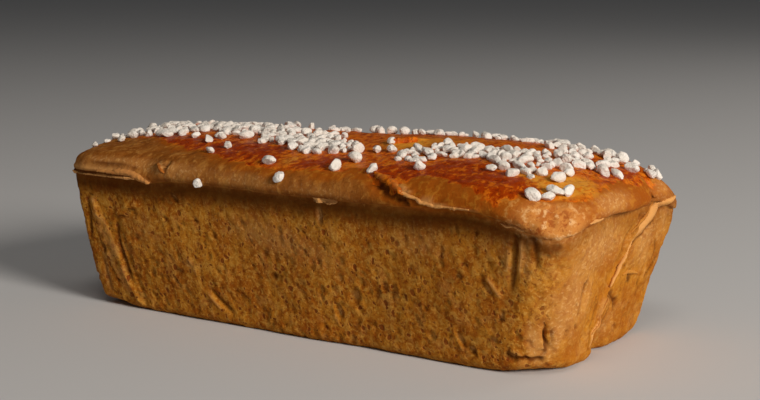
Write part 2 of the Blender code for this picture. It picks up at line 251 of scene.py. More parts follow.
# The crust's smaller relief: each kind is a sum of random lumps, each with its height, size and seed
CRUST_LUMPS = {
    "crumb": ((0.20, (2.6, 2.6, 3.2), 31), (0.18, (1.7, 1.7, 2.2), 32)),
    "heave": ((0.35, 11.0, 33),),
    "stretch": ((0.14, (2.4, 2.4, 3.4), 34), (0.20, (7.0, 7.0, 3.0), 38)),
    "wrinkle": ((0.26, (7.0, 4.0, 5.0), 35), (0.17, 2.4, 36)),
    "knobs": ((0.7, 3.2, 37), (0.45, 1.9, 39)),
    "end": ((0.5, (5.0, 3.2, 5.5), 40),),
}

# The lip heaves by this share of what the wall and the crown do
BAND_HEAVE = 0.6

# Just above the base all relief fades in, between these heights of the cube that is shaped to the loaf
FOOT_FADE = (-0.999, -0.96)

# The wall gives way to the lip between these shares of the lip's reach
WALL_END = (0.02, 0.25)

# How far up a point faces, as its normal's share, where the crown begins and where the wash can lie
CROWN_FACING = (0.35, 0.8)
WASH_FACING = (-0.05, 0.35)

# How squarely a point faces a side, as its normal's share, where that side's marks fade in, and how far
# up it faces where they fade out again
SIDE_FACING = (0.2, 0.5)
TOP_FACING = (0.5, 0.8)
ROLLED_OVER = (0.72, 0.94)

# The knobbly bulge at the near corner: its middle, and how wide it is along each axis
BULGE = ((118, -54, 64), (13, 12, 8))
BULGE_STRENGTH = 1.5

# The crease under the bulge, in the same way, and how far it is filled where the lip runs into the wall
CORNER_CREASE = ((118, -53, 60.5), (11, 10, 2.6))
CORNER_FILL = 1.5

# Painted shade darkens the wall below the lip, between these heights
LIP_SHADE = (50.0, 61.5)

# Painted shade darkens the lip's own lower edge too, up to these heights, and fades out at this place along
# the loaf
LIP_EDGE = (64.5, 68.6)
LIP_EDGE_DARKNESS = 0.55
LIP_EDGE_END = 50
LIP_EDGE_FADE = 30

# Painted shade darkens the foot, up to these heights
FOOT_SHADE = (0.5, 4.0)
FOOT_DARKNESS = 0.45

# All this painted shade is darkest where a point faces the front or back so squarely, and this share of it on
# the ends
LONG_FACING = (0.5, 0.8)
END_SHARE = 0.4

# The two ends are smoother than the long sides, and darker by painted shade, where a point faces them so
# squarely
END_FACING = (0.5, 0.85)
END_SMOOTHNESS = 0.6
END_SHADE = 0.24

# The pale crust that lay tight against the lining is smooth too
PALE_SMOOTHNESS = 0.6

# The edge of the egg wash: along the front as x and y, then round the right end as y and x
FRONT_WASH = (
    (-125, -22), (-106, -31), (-98, -29), (-85, -35.5), (-71, -42), (-60, -44), (-49, -47),
    (-37, -51), (-27, -52), (-12, -55.5), (-2, -57.5), (4, -55.5), (7, -51.5), (17, -54.5),
    (28, -49), (35, -52), (43, -56.5), (52, -60), (56, -57.5), (60, -50.5), (69, -52.5),
    (78, -56.5), (86, -57.5), (92, -61), (98, -62.5), (102, -60), (106, -55.5), (112, -51),
    (118, -46), (124, -40),
)
RIGHT_WASH = (
    (-55, 119), (-44, 122), (-36, 125), (-26, 125), (-16, 124), (-4, 123), (8, 126), (30, 122), (50, 116),
)
LEFT_WASH = -111.0
BACK_WASH = 50.0

# The brush left that edge uneven, by random lumps as above; so far inside it the wash begins and is full
BRUSH_MARKS = ((2.2, 6.0, 21), (2.0, 2.6, 22))
WASH_EDGE = (-5, 5)

# Thin wash ran on from it, in the same way
WASH_RUNS = ((4.0, 9.0, 23),)
RUN_EDGE = (-13, 2)

# The thin wash fades out downwards between these heights. From the first to the second place along the
# loaf it comes to do so lower down, by this much
RUN_HEIGHTS = (62, 74)
RUN_PLACES = (30, 70)
RUN_DROP = 7.0

# Where the wash baked darkest, with painted shade added towards the left end, and where it stayed pale, with
# painted highlight: x, y, how wide, how strong
DARK_BAKE_AND_SHADE = (
    (-95, -30, 10, 0.9),
    (-72, -35, 11, 1.3),
    (-44, -41, 12, 1.3),
    (-25, -42, 11, 1.2),
    (5, -50, 9, 1.1),
    (14, -40, 8, 0.5),
    (46, -48, 10, 0.7),
    (68, -44, 13, 1.0),
    (86, -47, 13, 1.1),
    (100, -51, 9, 0.9),
    (116, 4, 14, 0.7),
    (-60, 30, 24, 0.6),
    (30, 38, 26, 0.6),
    (90, 34, 20, 0.5),
)
PALE_BAKE_AND_HIGHLIGHT = (
    (-6, -47, 7, 0.7),
    (24, -48, 7, 0.5),
    (27, -10, 9, 1.0),
    (40, 0, 26, 0.5),
    (113, -34, 9, 0.7),
    (119, -30, 11, 1.0),
    (114, -45, 7, 0.7),
    (99, -38, 8, 0.7),
    (-86, 20, 18, 0.4),
)

# Where painted shade darkens the front wall: across, up, how wide, how strong
PAINTED_WALL_SHADE = (
    (76, 34, 26, 0.30),
    (-98, 34, 26, 0.18),
)

# Where the lining lay so tight on the sides that the crust stayed pale and smooth:
# across, up, half its width, half its height, strength
PALE_PRESS = {
    "front": (
        (-22, 47, 15, 7, 0.45),
        (-4, 42, 14, 7, 0.5),
        (16, 38, 10, 7, 0.35),
        (-113, 16, 1.6, 10, 0.8),
        (14.8, 57, 1.4, 4, 0.9),
        (107.5, 13, 2.0, 8, 1.0),
        (-60, 26.5, 2.2, 4, 0.5),
        (100, 46, 3.0, 11, 0.4),
        (108.5, 47, 2.2, 9, 0.5),
        (60, 50, 14, 6, 0.4),
        (-84, 40, 8, 9, 0.3),
        (-60, 70, 16, 3.5, 0.8),
        (-20, 69, 20, 3.0, 0.7),
        (20, 68, 14, 2.5, 0.5),
        (-96, 72, 22, 4.0, 0.7),
    ),
    "right": (
        (-34, 30, 14, 16, 0.8),
        (-16, 50, 22, 9, 0.9),
        (26, 46, 10, 12, 0.9),
        (44, 50, 6, 10, 0.6),
        (-22, 68, 16, 4.5, 1.0),
        (34, 67, 10, 5, 0.6),
        (5, 12, 7, 9, 0.4),
        (-40, 14, 3, 8, 0.8),
    ),
    "back": (
        (60, 40, 22, 9, 0.7),
        (-30, 36, 26, 8, 0.6),
        (-84, 26, 9, 12, 0.5),
    ),
    "left": (
        (-20, 36, 14, 12, 0.7),
        (30, 24, 10, 14, 0.6),
    ),
}

# Dents in the crust: across, up, half its width, half its height, lean in degrees, depth
DENTS = {
    "front": (
        (21.2, 30.3, 2.0, 2.3, 0, 0.8),
        (27.9, 23.4, 2.7, 4.0, -16, 1.1),
        (19.0, 15.6, 1.7, 3.8, 12, 1.0),
        (-11.2, 26.2, 2.6, 2.4, 0, 0.7),
        (43.0, 29.6, 1.8, 2.2, 0, 0.8),
        (47.8, 28.8, 1.9, 2.4, 0, 0.7),
        (39.0, 25.4, 1.3, 3.2, -30, 0.7),
        (-67.5, 22.3, 3.2, 1.3, 12, 0.8),
        (-64.2, 57.0, 1.2, 3.4, 40, 0.9),
        (14.8, 57.2, 1.5, 4.6, 0, 0.8),
        (91.0, 35.0, 1.4, 4.0, 34, 0.9),
        (96.4, 24.6, 1.3, 3.0, -14, 0.9),
        (77.0, 12.2, 1.5, 4.0, 30, 0.9),
        (82.0, 8.5, 2.2, 1.8, 0, 1.0),
        (64.0, 11.4, 1.6, 2.4, 10, 0.8),
        (92.0, 14.0, 2.6, 1.6, -20, 0.9),
        (99.5, 8.2, 3.0, 1.8, -16, 1.1),
        (86.0, 50.5, 2.4, 2.0, 0, 0.6),
        (79.0, 57.6, 1.2, 3.0, 10, 0.7),
        (71.4, 47.6, 1.3, 3.8, -14, 0.6),
        (57.3, 18.0, 1.6, 2.0, 0, 0.6),
        (-112.1, 28.6, 1.8, 2.6, 10, 1.3),
        (-93.4, 16.9, 2.0, 1.4, 0, 0.6),
        (-30.0, 13.6, 1.5, 2.2, 10, 0.6),
        (2.0, 20.4, 1.4, 3.0, 10, 0.5),
        (-65.0, 72.0, 2.0, 1.6, -20, 1.9),
        (112.6, 58.4, 2.0, 1.4, 0, 0.8),
        (105.6, 58.4, 2.2, 1.4, 0, 0.8),
    ),
    "right": (
        (13.2, 8.7, 3.0, 1.6, -20, 0.9),
        (2.4, 26.1, 2.0, 2.6, 30, 0.9),
        (9.5, 20.0, 1.8, 3.4, -20, 0.8),
        (21.4, 29.8, 4.2, 0.9, 0, 0.8),
        (18.4, 27.6, 0.9, 2.4, 0, 0.7),
        (-28.7, 17.1, 1.4, 3.2, 24, 0.6),
        (-20.0, 12.0, 3.0, 1.2, 20, 0.6),
        (31.0, 50.5, 1.4, 2.2, 30, 0.7),
        (35.0, 57.0, 2.2, 1.6, 0, 0.8),
    ),
}

# More dents lie scattered over the sides: how many, and how far along from the middle
SCATTERED_DENTS = {"front": (330, 124), "back": (330, 123), "right": (70, 54), "left": (80, 55)}
DENT_SEED = 77

# They reach up to this height, from this share of it, and the more this is over one the more lie low
DENTED_HEIGHT = 60
LOWEST_DENT = 0.05
DENT_CROWDING = 1.25

# Between these sizes and depths they are, and lean by about so many degrees
DENT_WIDTHS = (0.8, 1.7)
DENT_LENGTHS = (0.8, 2.4)
DENT_DEPTHS = (0.25, 0.75)
DENT_LEAN = 22

# A dent from its middle out, in half-widths: its wall from floor to rim, and then its rim and its dark
# ring of painted shade, each with its middle, its width and its strength
DENT_WALL = (0.3, 1.1)
DENT_RIM = (1.25, 0.25, 0.18)
DENT_RING = (0.75, 0.4, 0.55)

# A dent as deep as this shows pale crumb on its floor, between these half-widths from its middle
PALE_DEPTHS = (0.6, 1.0)
PALE_FLOOR = (0.2, 0.8)

# Lines and steps fade in and out over this share of their length at each end
LINE_FADE = 0.25

# Ridges, and creases below zero: height, half-width, darkness, and the line's points, across and up.
# Darkness above zero is browning and painted shade, below zero paler crust and painted highlight
LINES = {
    "front": (
        (-1.0, 0.9, 0.9, ((-101.1, 47), (-101.4, 33), (-99.3, 22.6), (-96.7, 9))),
        (-1.1, 0.8, 1.0, ((-115.4, 55), (-117.6, 42), (-119.8, 30))),
        (0.6, 0.9, -0.5, ((-113.5, 53), (-112.2, 47), (-110.5, 42))),
        (-0.8, 0.9, 0.6, ((-114.2, 26), (-113.4, 16), (-111.5, 5))),
        (-1.1, 1.3, 0.8, ((105.2, 60), (104.4, 52), (102.8, 43), (100.0, 32))),
        (-0.8, 1.2, 0.7, ((112.4, 60), (112.9, 52), (112.5, 43))),
        (0.7, 1.1, -0.6, ((107.4, 58), (106.6, 50), (104.8, 41))),
        (0.5, 1.0, -0.4, ((102.0, 58), (101.4, 50), (99.6, 42))),
        (-0.7, 0.8, 0.6, ((95.5, 49.6), (99.4, 44.6))),
        (0.7, 0.9, -0.5, ((90.0, 41), (93.4, 36.4), (97.4, 31))),
        (0.5, 0.8, -0.4, ((-61.4, 31), (-58.6, 26.6), (-56.2, 21))),
        (-1.2, 1.3, 0.7, ((-50.4, 18), (-46.4, 12.6), (-41.6, 8.4), (-38, 5))),
        (0.6, 0.9, -0.5, ((-52.4, 15.6), (-48.4, 10.6), (-43.6, 6))),
        (0.5, 0.8, -0.4, ((16.6, 19), (16.4, 13), (18.4, 8))),
        (0.6, 0.8, -0.4, ((73.6, 17), (76.0, 12), (78.4, 6))),
        (-0.9, 1.0, 1.0, ((101, 8.6), (106, 7.0), (111, 7.4))),
        (0.6, 0.7, -0.6, ((98, 11.0), (103, 9.2), (107.4, 9.0))),
        (-0.5, 0.7, 0.5, ((-119, 65.4), (-106, 65.6), (-95, 65.8), (-86, 66.2))),
        (-0.4, 0.8, 0.35, ((-112, 69.6), (-104, 70.2), (-93, 70.4), (-86, 70.0))),
        (-0.9, 0.8, 0.9, ((-84.4, 69.4), (-80.4, 67.0), (-76.4, 65.4))),
        (-0.4, 0.8, 0.4, ((-60, 72), (-58, 68), (-57, 66))),
    ),
    "right": (
        (-0.8, 0.8, 0.8, ((36.4, 56), (27.0, 50.2), (19.0, 46.2), (10.4, 42.6), (7.6, 36), (4.4, 29))),
        (-0.5, 0.8, 0.5, ((28.6, 60.6), (20.0, 57.6), (11.6, 54.4), (6.6, 48.0), (3.0, 40.0), (-0.6, 33))),
        (0.6, 0.8, -0.4, ((18.4, 59.6), (14.4, 56.6), (10.4, 53))),
        (-0.8, 1.2, 0.5, ((6.6, 24), (2.4, 16), (-2.4, 10))),
        (-1.0, 1.0, 0.9, ((-42.4, 21), (-41.4, 14), (-40.6, 9))),
        (0.5, 1.0, -0.5, ((36, 34), (34, 26), (30.4, 16))),
        (-1.0, 1.1, 0.9, ((20, 34), (19.6, 30), (21, 27.4), (25, 28.4))),
        (-0.8, 1.2, 0.7, ((30, 27), (33, 22), (31, 17))),
        (-0.9, 1.1, 0.8, ((3.0, 27.4), (5.0, 24), (9.0, 21.4), (9.6, 17))),
        (0.7, 1.2, -0.5, ((-5, 28), (-7.4, 22), (-10.4, 14), (-13, 8))),
        (-0.5, 1.0, 0.5, ((-9, 30), (-13, 20), (-17, 12))),
        (-0.5, 1.2, 0.5, ((-24, 40), (-27, 30), (-29, 20))),
        (0.5, 1.3, -0.3, ((-20, 40), (-23, 30), (-25, 20))),
        (-0.6, 0.9, 0.6, ((38, 44), (41, 38), (40, 32))),
        (-0.4, 0.8, 0.3, ((-12, 30), (-17, 20), (-20, 12))),
        (0.4, 0.9, -0.3, ((-6, 28), (-11, 20), (-13, 13))),
    ),
    "back": (
        (-1.0, 1.0, 0.8, ((-103, 57), (-101, 42), (-98, 28), (-97, 14))),
        (-0.9, 0.9, 0.7, ((101, 58), (99, 46), (99.4, 34))),
        (-0.8, 0.9, 0.7, ((107, 57), (107.4, 47))),
        (0.6, 0.9, -0.4, ((-44, 22), (-40, 16), (-37, 9))),
        (-0.9, 1.2, 0.6, ((30, 20), (33, 14), (38, 9))),
        (0.7, 1.1, -0.5, ((-20, 72), (-12, 70), (-4, 67), (2, 65))),
    ),
    "left": (
        (-0.8, 0.9, 0.7, ((-3, 56), (4, 42), (9, 30), (14, 14))),
        (-0.8, 0.9, 0.7, ((40, 50), (41, 38), (43, 26))),
        (0.5, 0.9, -0.4, ((-30, 40), (-26, 26), (-22, 12))),
    ),
    "top": (
        (-0.6, 0.9, 0.6, ((92, 30), (99, 31), (106, 28), (112, 27), (119, 33))),
        (0.7, 1.0, -0.5, ((96, 33.4), (102, 32.6), (108, 30))),
        (-0.5, 0.8, 0.5, ((104, -4), (110, -6), (116, -12))),
        (0.6, 1.4, -0.6, ((31, 4), (27, -4), (22, -12), (20, -17))),
        (-0.6, 0.9, 0.5, ((34, 4), (31, -4), (26, -13))),
        (0.5, 1.0, -0.3, ((103, -38), (109, -34), (115, -33))),
        (-0.4, 0.8, 0.4, ((104, -35), (111, -31), (118, -31))),
        (-0.5, 1.0, 0.4, ((-118, -2), (-112, 6), (-108, 18))),
    ),
}

# Flat strips with crisp edges: height, darkness, and the line's points with the strip's half-width.
# Darkness above zero is browning and painted shade, below zero paler crust and painted highlight
STRIPS = {
    "front": (
        (
            1.0, -1.0,
            ((-122, 64.5, 0.7), (-108, 64.3, 0.9), (-99, 64.2, 0.8), (-90, 64.7, 0.7), (-82, 64.8, 0.4)),
        ),
        (
            1.0, -0.6,
            (
                (-120, 67.4, 1.2), (-105, 67.9, 1.6), (-93, 68.2, 1.7), (-84.5, 67.5, 1.4), (-79, 65.6, 1.1),
                (-74, 63.8, 0.4),
            ),
        ),
        (
            1.2, -0.6,
            (
                (40, 76.0, 1.0), (46.6, 75.3, 1.2), (52.6, 74.0, 1.3), (56.0, 72.4, 1.2), (60.2, 70.4, 1.0),
                (63.4, 69.6, 0.9), (67, 68.7, 0.8), (73, 67.7, 0.7), (80, 67.4, 0.5), (92, 67.2, 0.4),
            ),
        ),
        (
            -2.0, 1.2,
            (
                (40.6, 73.8, 0.4), (46.0, 72.4, 0.9), (51.0, 70.8, 1.3), (54.4, 69.3, 1.3), (57.4, 68.1, 0.9),
                (60.6, 66.9, 0.5),
            ),
        ),
        (0.8, -0.9, ((-70, 71.6, 0.8), (-67.4, 70.0, 1.2), (-65, 69.0, 0.6))),
        (
            0.4, -0.35,
            ((-114.0, 51, 2.2), (-110.4, 38, 3.8), (-106.6, 26, 4.6), (-102.4, 14, 3.2), (-97.0, 2, 1.0)),
        ),
    ),
    "right": (
        (
            0.6, -0.7,
            ((0.4, 23.6, 0.7), (-2.4, 18.1, 1.0), (-8.7, 15.5, 1.0), (-13.0, 12.6, 0.9), (-11.6, 6.4, 0.5)),
        ),
    ),
    "back": (
        (0.8, -0.6, ((-103, 54, 1.2), (-102, 40, 1.5), (-99.4, 26, 1.2))),
    ),
    "left": (
        (0.9, -0.7, ((2, 57, 1.8), (8, 44, 2.0), (13, 30, 1.2), (18, 14, 0.6))),
    ),
}

# A strip's border lies between these distances inside its edge, below zero outside it. A dark line of
# painted shade runs along it: how far out, how wide and how dark
STRIP_BORDER = (-0.6, 0.5)
STRIP_LINE = (0.8, 0.5, 0.5)

# Steps: height, how far it falls away, and the line; what is left of it, seen going along, stands proud
STEPS = {
    "front": (
        (1.3, 7.0, ((-103.6, 46.2), (-98.4, 45.4), (-94.4, 46.4), (-92.7, 49.2), (-88, 50.2), (-83.8, 50.4))),
        (0.6, 5.0, ((-110.7, 43), (-113.5, 52))),
    ),
    "right": (
        (0.8, 7.0, ((47, 37), (42, 31), (36, 27.4), (33, 22))),
    ),
    "back": (
        (0.8, 7.0, ((-60, 47), (-52, 45.6), (-44, 48), (-38, 47))),
    ),
    "top": (
        (0.5, 8.0, ((62, 22), (70, 26), (80, 24), (90, 27))),
        (0.6, 9.0, ((-104, 26), (-96, 30), (-84, 29))),
    ),
}

# A step rises between these distances from its line, and has a dark line of painted shadow at its foot, as a
# strip has
STEP_RISE = (-0.5, 0.5)
STEP_LINE = (-0.4, 0.7, 0.8)

# Thin edges that stand proud where the crust tore or folded: side, height, how pale with painted highlight,
# how thick the wash, how tinted by it, how like the wall, and the line's points, across and up, with half the
# edge's width
EDGES = (
    (
        "front", 1.0, 0.9, 0.0, 0.2, 0.0,
        (
            (-121.6, 64.8, 0.3), (-119.5, 64.4, 0.5), (-115.0, 64.1, 0.45), (-108.0, 64.4, 0.6),
            (-101.5, 64.0, 0.5), (-95.0, 64.4, 0.6), (-88.0, 64.9, 0.45), (-82.0, 64.7, 0.3),
        ),
    ),
    (
        "front", 1.1, 0.5, 0.2, 0.6, 0.0,
        (
            (-103.0, 66.9, 0.3), (-96.0, 67.2, 0.8), (-90.0, 67.4, 1.3), (-84.5, 66.9, 1.5),
            (-80.0, 65.7, 1.3), (-76.6, 64.4, 0.9), (-73.8, 63.5, 0.3),
        ),
    ),
    (
        "front", 1.5, 0.25, 0.5, 1.0, 0.0,
        (
            (39.0, 75.8, 0.3), (43.0, 75.2, 0.8), (48.0, 74.4, 1.0), (52.6, 73.3, 1.1), (56.0, 71.9, 0.9),
            (59.0, 70.6, 0.3),
        ),
    ),
    (
        "front", 1.2, 0.7, 0.1, 0.6, 0.0,
        (
            (56.6, 71.6, 0.3), (60.2, 70.1, 0.7), (63.4, 69.2, 0.6), (67.0, 68.3, 0.6), (73.0, 67.3, 0.4),
            (80.0, 67.1, 0.35), (88.0, 67.0, 0.2),
        ),
    ),
    (
        "front", 0.6, 0.2, 0.2, 0.7, 0.0,
        ((-70.6, 72.2, 0.3), (-68.6, 71.2, 0.7), (-66.8, 69.8, 0.8), (-65.0, 68.5, 0.3)),
    ),
    (
        "front", 2.4, 1.0, 0.0, 0.0, 0.0,
        (
            (13.4, 63.6, 0.4), (14.6, 64.2, 1.1), (15.8, 64.5, 0.6), (18.6, 64.4, 0.45), (21.6, 64.0, 0.4),
            (24.0, 63.6, 0.2),
        ),
    ),
    (
        "front", 0.7, 1.0, 0.0, 0.0, 0.0,
        ((98.6, 62.2, 0.2), (101.4, 61.2, 0.6), (104.2, 61.6, 0.35), (107.0, 60.8, 0.6), (109.4, 60.6, 0.2)),
    ),
    (
        "right", 1.1, 0.75, 0.0, 0.1, 1.0,
        (
            (43.0, 61.0, 0.6), (36.0, 59.0, 2.2), (30.0, 56.4, 3.2), (24.4, 53.2, 3.2), (19.0, 50.0, 2.4),
            (14.0, 47.0, 1.6), (9.6, 44.2, 1.2), (5.6, 39.6, 1.0), (2.6, 35.6, 0.8), (-2.5, 29.7, 0.4),
        ),
    ),
    (
        "right", 0.5, 0.3, 0.0, 0.1, 1.0,
        ((30.0, 60.4, 0.3), (23.0, 57.6, 0.6), (16.4, 54.2, 0.6), (11.0, 50.0, 0.3)),
    ),
    (
        "right", 0.7, 0.4, 0.0, 0.0, 1.0,
        ((0.8, 24.0, 0.3), (-2.4, 18.1, 0.8), (-8.7, 15.5, 0.7), (-13.4, 12.2, 0.3)),
    ),
    (
        "right", 0.6, 0.3, 0.0, 0.0, 1.0,
        ((13.6, 31.6, 0.3), (18.0, 32.2, 0.8), (24.0, 31.0, 0.8), (28.6, 29.6, 0.3)),
    ),
    (
        "right", 0.7, 0.8, 0.0, 0.2, 0.0,
        ((-42.0, 62.6, 0.2), (-38.0, 63.4, 0.6), (-34.6, 63.0, 0.3), (-31.0, 63.2, 0.2)),
    ),
    (
        "top", 1.5, 0.0, 1.0, 1.0, 0.0,
        ((98.6, 32.2, 0.4), (101.5, 31.6, 1.1), (104.0, 30.0, 1.0), (106.4, 27.8, 0.4)),
    ),
    (
        "top", 2.2, 0.1, 0.62, 1.0, 0.0,
        ((29.6, -4.4, 0.3), (28.8, -6.6, 0.9), (27.2, -8.8, 1.7), (25.0, -11.2, 1.0), (23.0, -13.4, 0.3)),
    ),
)
EDGE_STEP = 0.6

# The edge's section, from its sharp lower border to its soft upper one and back inside the crust
EDGE_SECTION = (
    (-1.0, -0.3), (-0.95, 0.7), (-0.5, 1.0), (0.2, 0.85), (1.0, -0.1), (0.8, -1.0), (-0.8, -1.0),
)
EDGE_SEED = 5

# Along its line an edge's width and height change by these shares
EDGE_WIDTHS = (0.85, 1.2)
EDGE_HEIGHTS = (0.85, 1.1)

# Where half its width is less than this, an edge is lower too
EDGE_FULL = 0.4

# From so far off its side is looked at, to find the crust that an edge lies on
EDGE_VIEW = 300

# What crust_mesh says of each point of the crust, mostly from 0 to 1
CRUST_SHARES = (
    "wash", "tint", "wall", "rough", "painted_shade", "pits", "dark_bake_and_shade", "pale_bake_and_highlight", "crease_brown_and_shade", "ridge_pale_and_highlight",
    "pale", "bulge",
)

# The crust's patterns: the place that each reads, how it is squeezed along the height, its size, and its
# detail. All are drawn out across the loaf
PATTERNS = (
    ("patch", "straight", 0.8, 10.0, 3),
    ("blotch", "bent", 0.9, 6.0, 4),
    ("mottle", "bent", 0.9, 2.8, 4),
    ("grain", "bent", 0.95, 1.2, 2),
    ("streak", "bent", 0.30, 1.6, 3),
)
PATTERN_STRETCH = 0.65

# The bent place is the straight one moved by a wobble: how large it is, and how far it moves
WOBBLE_SIZE = 3.0
WOBBLE = 2.6

# Pits lie in cells of three sizes, one to a cell whose lot is above a least. The radius, as a share of
# the cell, goes with the lot up to a widest
PITS = ((2.1, 0.46, 0.43), (3.4, 0.62, 0.40), (5.8, 0.74, 0.24))
NO_PIT = -0.15
PIT_SQUEEZE = 0.75

# How deep in a pit, from nothing to full, its rim and its hole show. The rim's paler colour is a painted
# highlight
PIT_PARTS = {"pit_rim_highlight": (-0.15, -0.02), "holes": (-0.06, 0.12)}

# The wash as it shows: the share that it comes from, how broken its edge is, and from where to where of
# that share it is laid
WASHES = {
    "glaze": ("wash", 1.1, 0.36, 0.64),
    "burnt_and_shade": ("dark_bake_and_shade", 2.2, 0.25, 0.60),
    "warmth": ("tint", 0.8, 0.2, 1.0),
}

# Where the wash stayed pale, and where it carries painted highlight, its dark patterns show by this share
PALE_EVENNESS = 0.25

# How rough the bare crust and the glaze are, and how much of a clear film lies on the glaze
CRUST_ROUGHNESS = 0.75
GLAZE_ROUGHNESS = 0.46
GLAZE_FILM = 0.04

# The crust's colour, and each layer over it: what it reads, from where to where, at most how much, in
# what part, and its colour
CRUST_COLOUR = "#BA7923"
CRUST_LAYERS = (
    # The wall
    ("patch", 0.38, 0.62, 0.8, "wall", "#A25C15"),
    ("blotch", 0.53, 0.63, 0.4, "wall", "#C48A46"),
    ("mottle", 0.50, 0.64, 0.6, "rough", "#CB9440"),
    ("mottle", 0.47, 0.36, 0.6, "rough", "#8E460D"),
    ("grain", 0.45, 0.33, 0.7, "rough", "#7A3409"),
    ("grain", 0.56, 0.68, 0.5, "rough", "#DDA850"),
    # The lip, and what lies above it under the wash
    ("lip", 0.0, 1.0, 1.0, None, "#985B22"),
    ("patch", 0.40, 0.60, 0.7, "lip", "#844912"),
    ("blotch", 0.50, 0.66, 0.7, "lip", "#B47A36"),
    ("blotch", 0.46, 0.34, 0.7, "lip", "#7E4414"),
    ("mottle", 0.46, 0.34, 0.7, "lip", "#743D10"),
    ("mottle", 0.54, 0.66, 0.6, "lip", "#C28A44"),
    ("streak", 0.46, 0.32, 0.35, "lip", "#743C12"),
    # Thin wash that ran down
    ("warmth", 0.0, 1.0, 0.85, None, "#9E500C"),
    ("mottle", 0.48, 0.62, 0.5, "warmth", "#BC7A24"),
    # The bulge at the near corner
    ("bulge", 0.1, 0.8, 0.8, None, "#CC8844"),
    ("blotch", 0.50, 0.40, 0.7, "bulge", "#A85A20"),
    # Pale peach mottles, partly painted highlight on the knobs
    ("mottle", 0.52, 0.66, 0.7, "bulge", "#ECC088"),
    ("mottle", 0.45, 0.36, 0.7, "bulge", "#924416"),
    ("grain", 0.44, 0.34, 0.5, "bulge", "#924416"),
    # Painted shade below the lip, pale places, pale ridges with painted highlight, browning with painted
    # shade in creases, and pits
    # Painted shade below the lip, on the lip's lower edge, on the front wall, at the foot and on the ends
    ("painted_shade", 0.0, 1.0, 0.85, None, "#5E3009"),
    ("pale", 0.0, 1.0, 0.65, None, "#C68E4E"),
    ("mottle", 0.49, 0.38, 0.5, "pale", "#A0602A"),
    ("grain", 0.52, 0.68, 0.5, "pale", "#E2B47A"),
    # Paler crust with painted highlight
    ("ridge_pale_and_highlight", 0.0, 1.0, 0.85, None, "#E2A866"),
    ("crease_brown_and_shade", 0.0, 1.0, 0.85, None, "#542606"),
    # Painted highlight round the pits
    ("pit_rim_highlight", 0.0, 1.0, 0.25, None, "#D09A4A"),
    ("holes", 0.0, 1.0, 0.8, None, "#702806"),
    # The glaze
    ("glaze", 0.0, 1.0, 0.97, None, "#CC600C"),
    ("patch", 0.40, 0.58, 0.6, "glaze", "#B44A04"),
    ("mottle", 0.48, 0.62, 0.8, "glaze", "#DA8A24"),
    # Pale wash, partly painted highlight
    ("pale_bake_and_highlight", 0.1, 0.9, 0.85, None, "#DC9A34"),
    # Darkest wash: browned, and painted shade towards the left
    ("burnt_and_shade", 0.0, 1.0, 0.94, "glaze", "#9A3400"),
    ("mottle", 0.53, 0.63, 0.8, "glaze", "#D06C10"),
    ("mottle", 0.46, 0.36, 0.7, "deep", "#7E2600"),
    ("streak", 0.46, 0.34, 0.6, "deep", "#7A2200"),
    ("grain", 0.42, 0.32, 0.6, "deep", "#561603"),
    ("blotch", 0.54, 0.62, 0.5, "pale_bake_and_highlight", "#B4600E"),
)

# The finest relief: what it reads, how high it is, and in what part
CRUST_BUMPS = (
    ("grain", 0.16, None),
    ("mottle", 0.30, "rough"),
    ("mottle", 0.34, "lip"),
    ("streak", 0.08, "glaze"),
    ("holes", -0.28, None),
)

# Pearl sugar: how large and deep its grains are, how large its creamier patches, and its two colours
SUGAR_GRAIN = 0.9
SUGAR_GRAIN_DEPTH = 0.7
SUGAR_PATCH = 4.0
SUGAR_COLOURS = ("#EAE4DC", "#F3F0EC")

FLOOR_COLOUR = "#D0D3D8"

# The studio, in metres: each lamp's place, diameter and power in watts. All shine at the loaf's middle
LAMPS = {
    "key": ((2.15, -0.65, 1.0), 0.8, 56.0),
    "fill": ((0.5, -0.9, 1.7), 0.7, 5.2),
    "back": ((1.0, 1.7, 0.8), 0.8, 3.5),
}
LAMP_COLOUR = "#FFF4E6"
LAMP_TARGET = Vector((0, 0, 0.04))
SKY_COLOUR = "#E6E3DF"
SKY_STRENGTH = 0.08
FLOOR_REACH = 12

# The camera, in millimetres again: where it stands, what it looks at, and its lens and sensor
CAMERA_PLACE = Vector((343.4, -515.3, 158.6))
CAMERA_TARGET = Vector((5.28, 3.44, 53.9))
FOCAL_LENGTH = 66.32
SENSOR_WIDTH = 36.0


def bump(value, middle, width):
    """One at the middle, falling smoothly to nothing over about twice the width."""
    return np.exp(-(((value - middle) / width) ** 2))


def ramp(value, low, high):
    """Nothing below low, one above high, and smooth between them."""
    share = np.clip((value - low) / (high - low), 0.0, 1.0)
    return share * share * (3.0 - 2.0 * share)


def spots(x, y, places):
    """The sum of round, smooth spots, each with its middle, width and strength."""
    total = np.zeros_like(x)
    for middle_x, middle_y, width, strength in places:
        total += strength * np.exp(-((x - middle_x) ** 2 + (y - middle_y) ** 2) / width**2)
    return total


def slow_waves(x, y, z, wavelength, seed):
    """Gentle unevenness between about -1 and 1, the same each time for one seed."""
    draw = random.Random(seed)
    total = np.zeros_like(x)
    count = 7
    for _ in range(count):
        turn = draw.uniform(0, 2 * math.pi)
        tilt = draw.uniform(-1, 1)
        phase = draw.uniform(0, 2 * math.pi)
        pace = 2 * math.pi / (wavelength * draw.uniform(0.7, 1.5))
        flat = math.sqrt(1 - tilt * tilt)
        way = x * math.cos(turn) * flat + y * math.sin(turn) * flat + z * tilt
        total += np.sin(way * pace + phase)
    return total / math.sqrt(count)


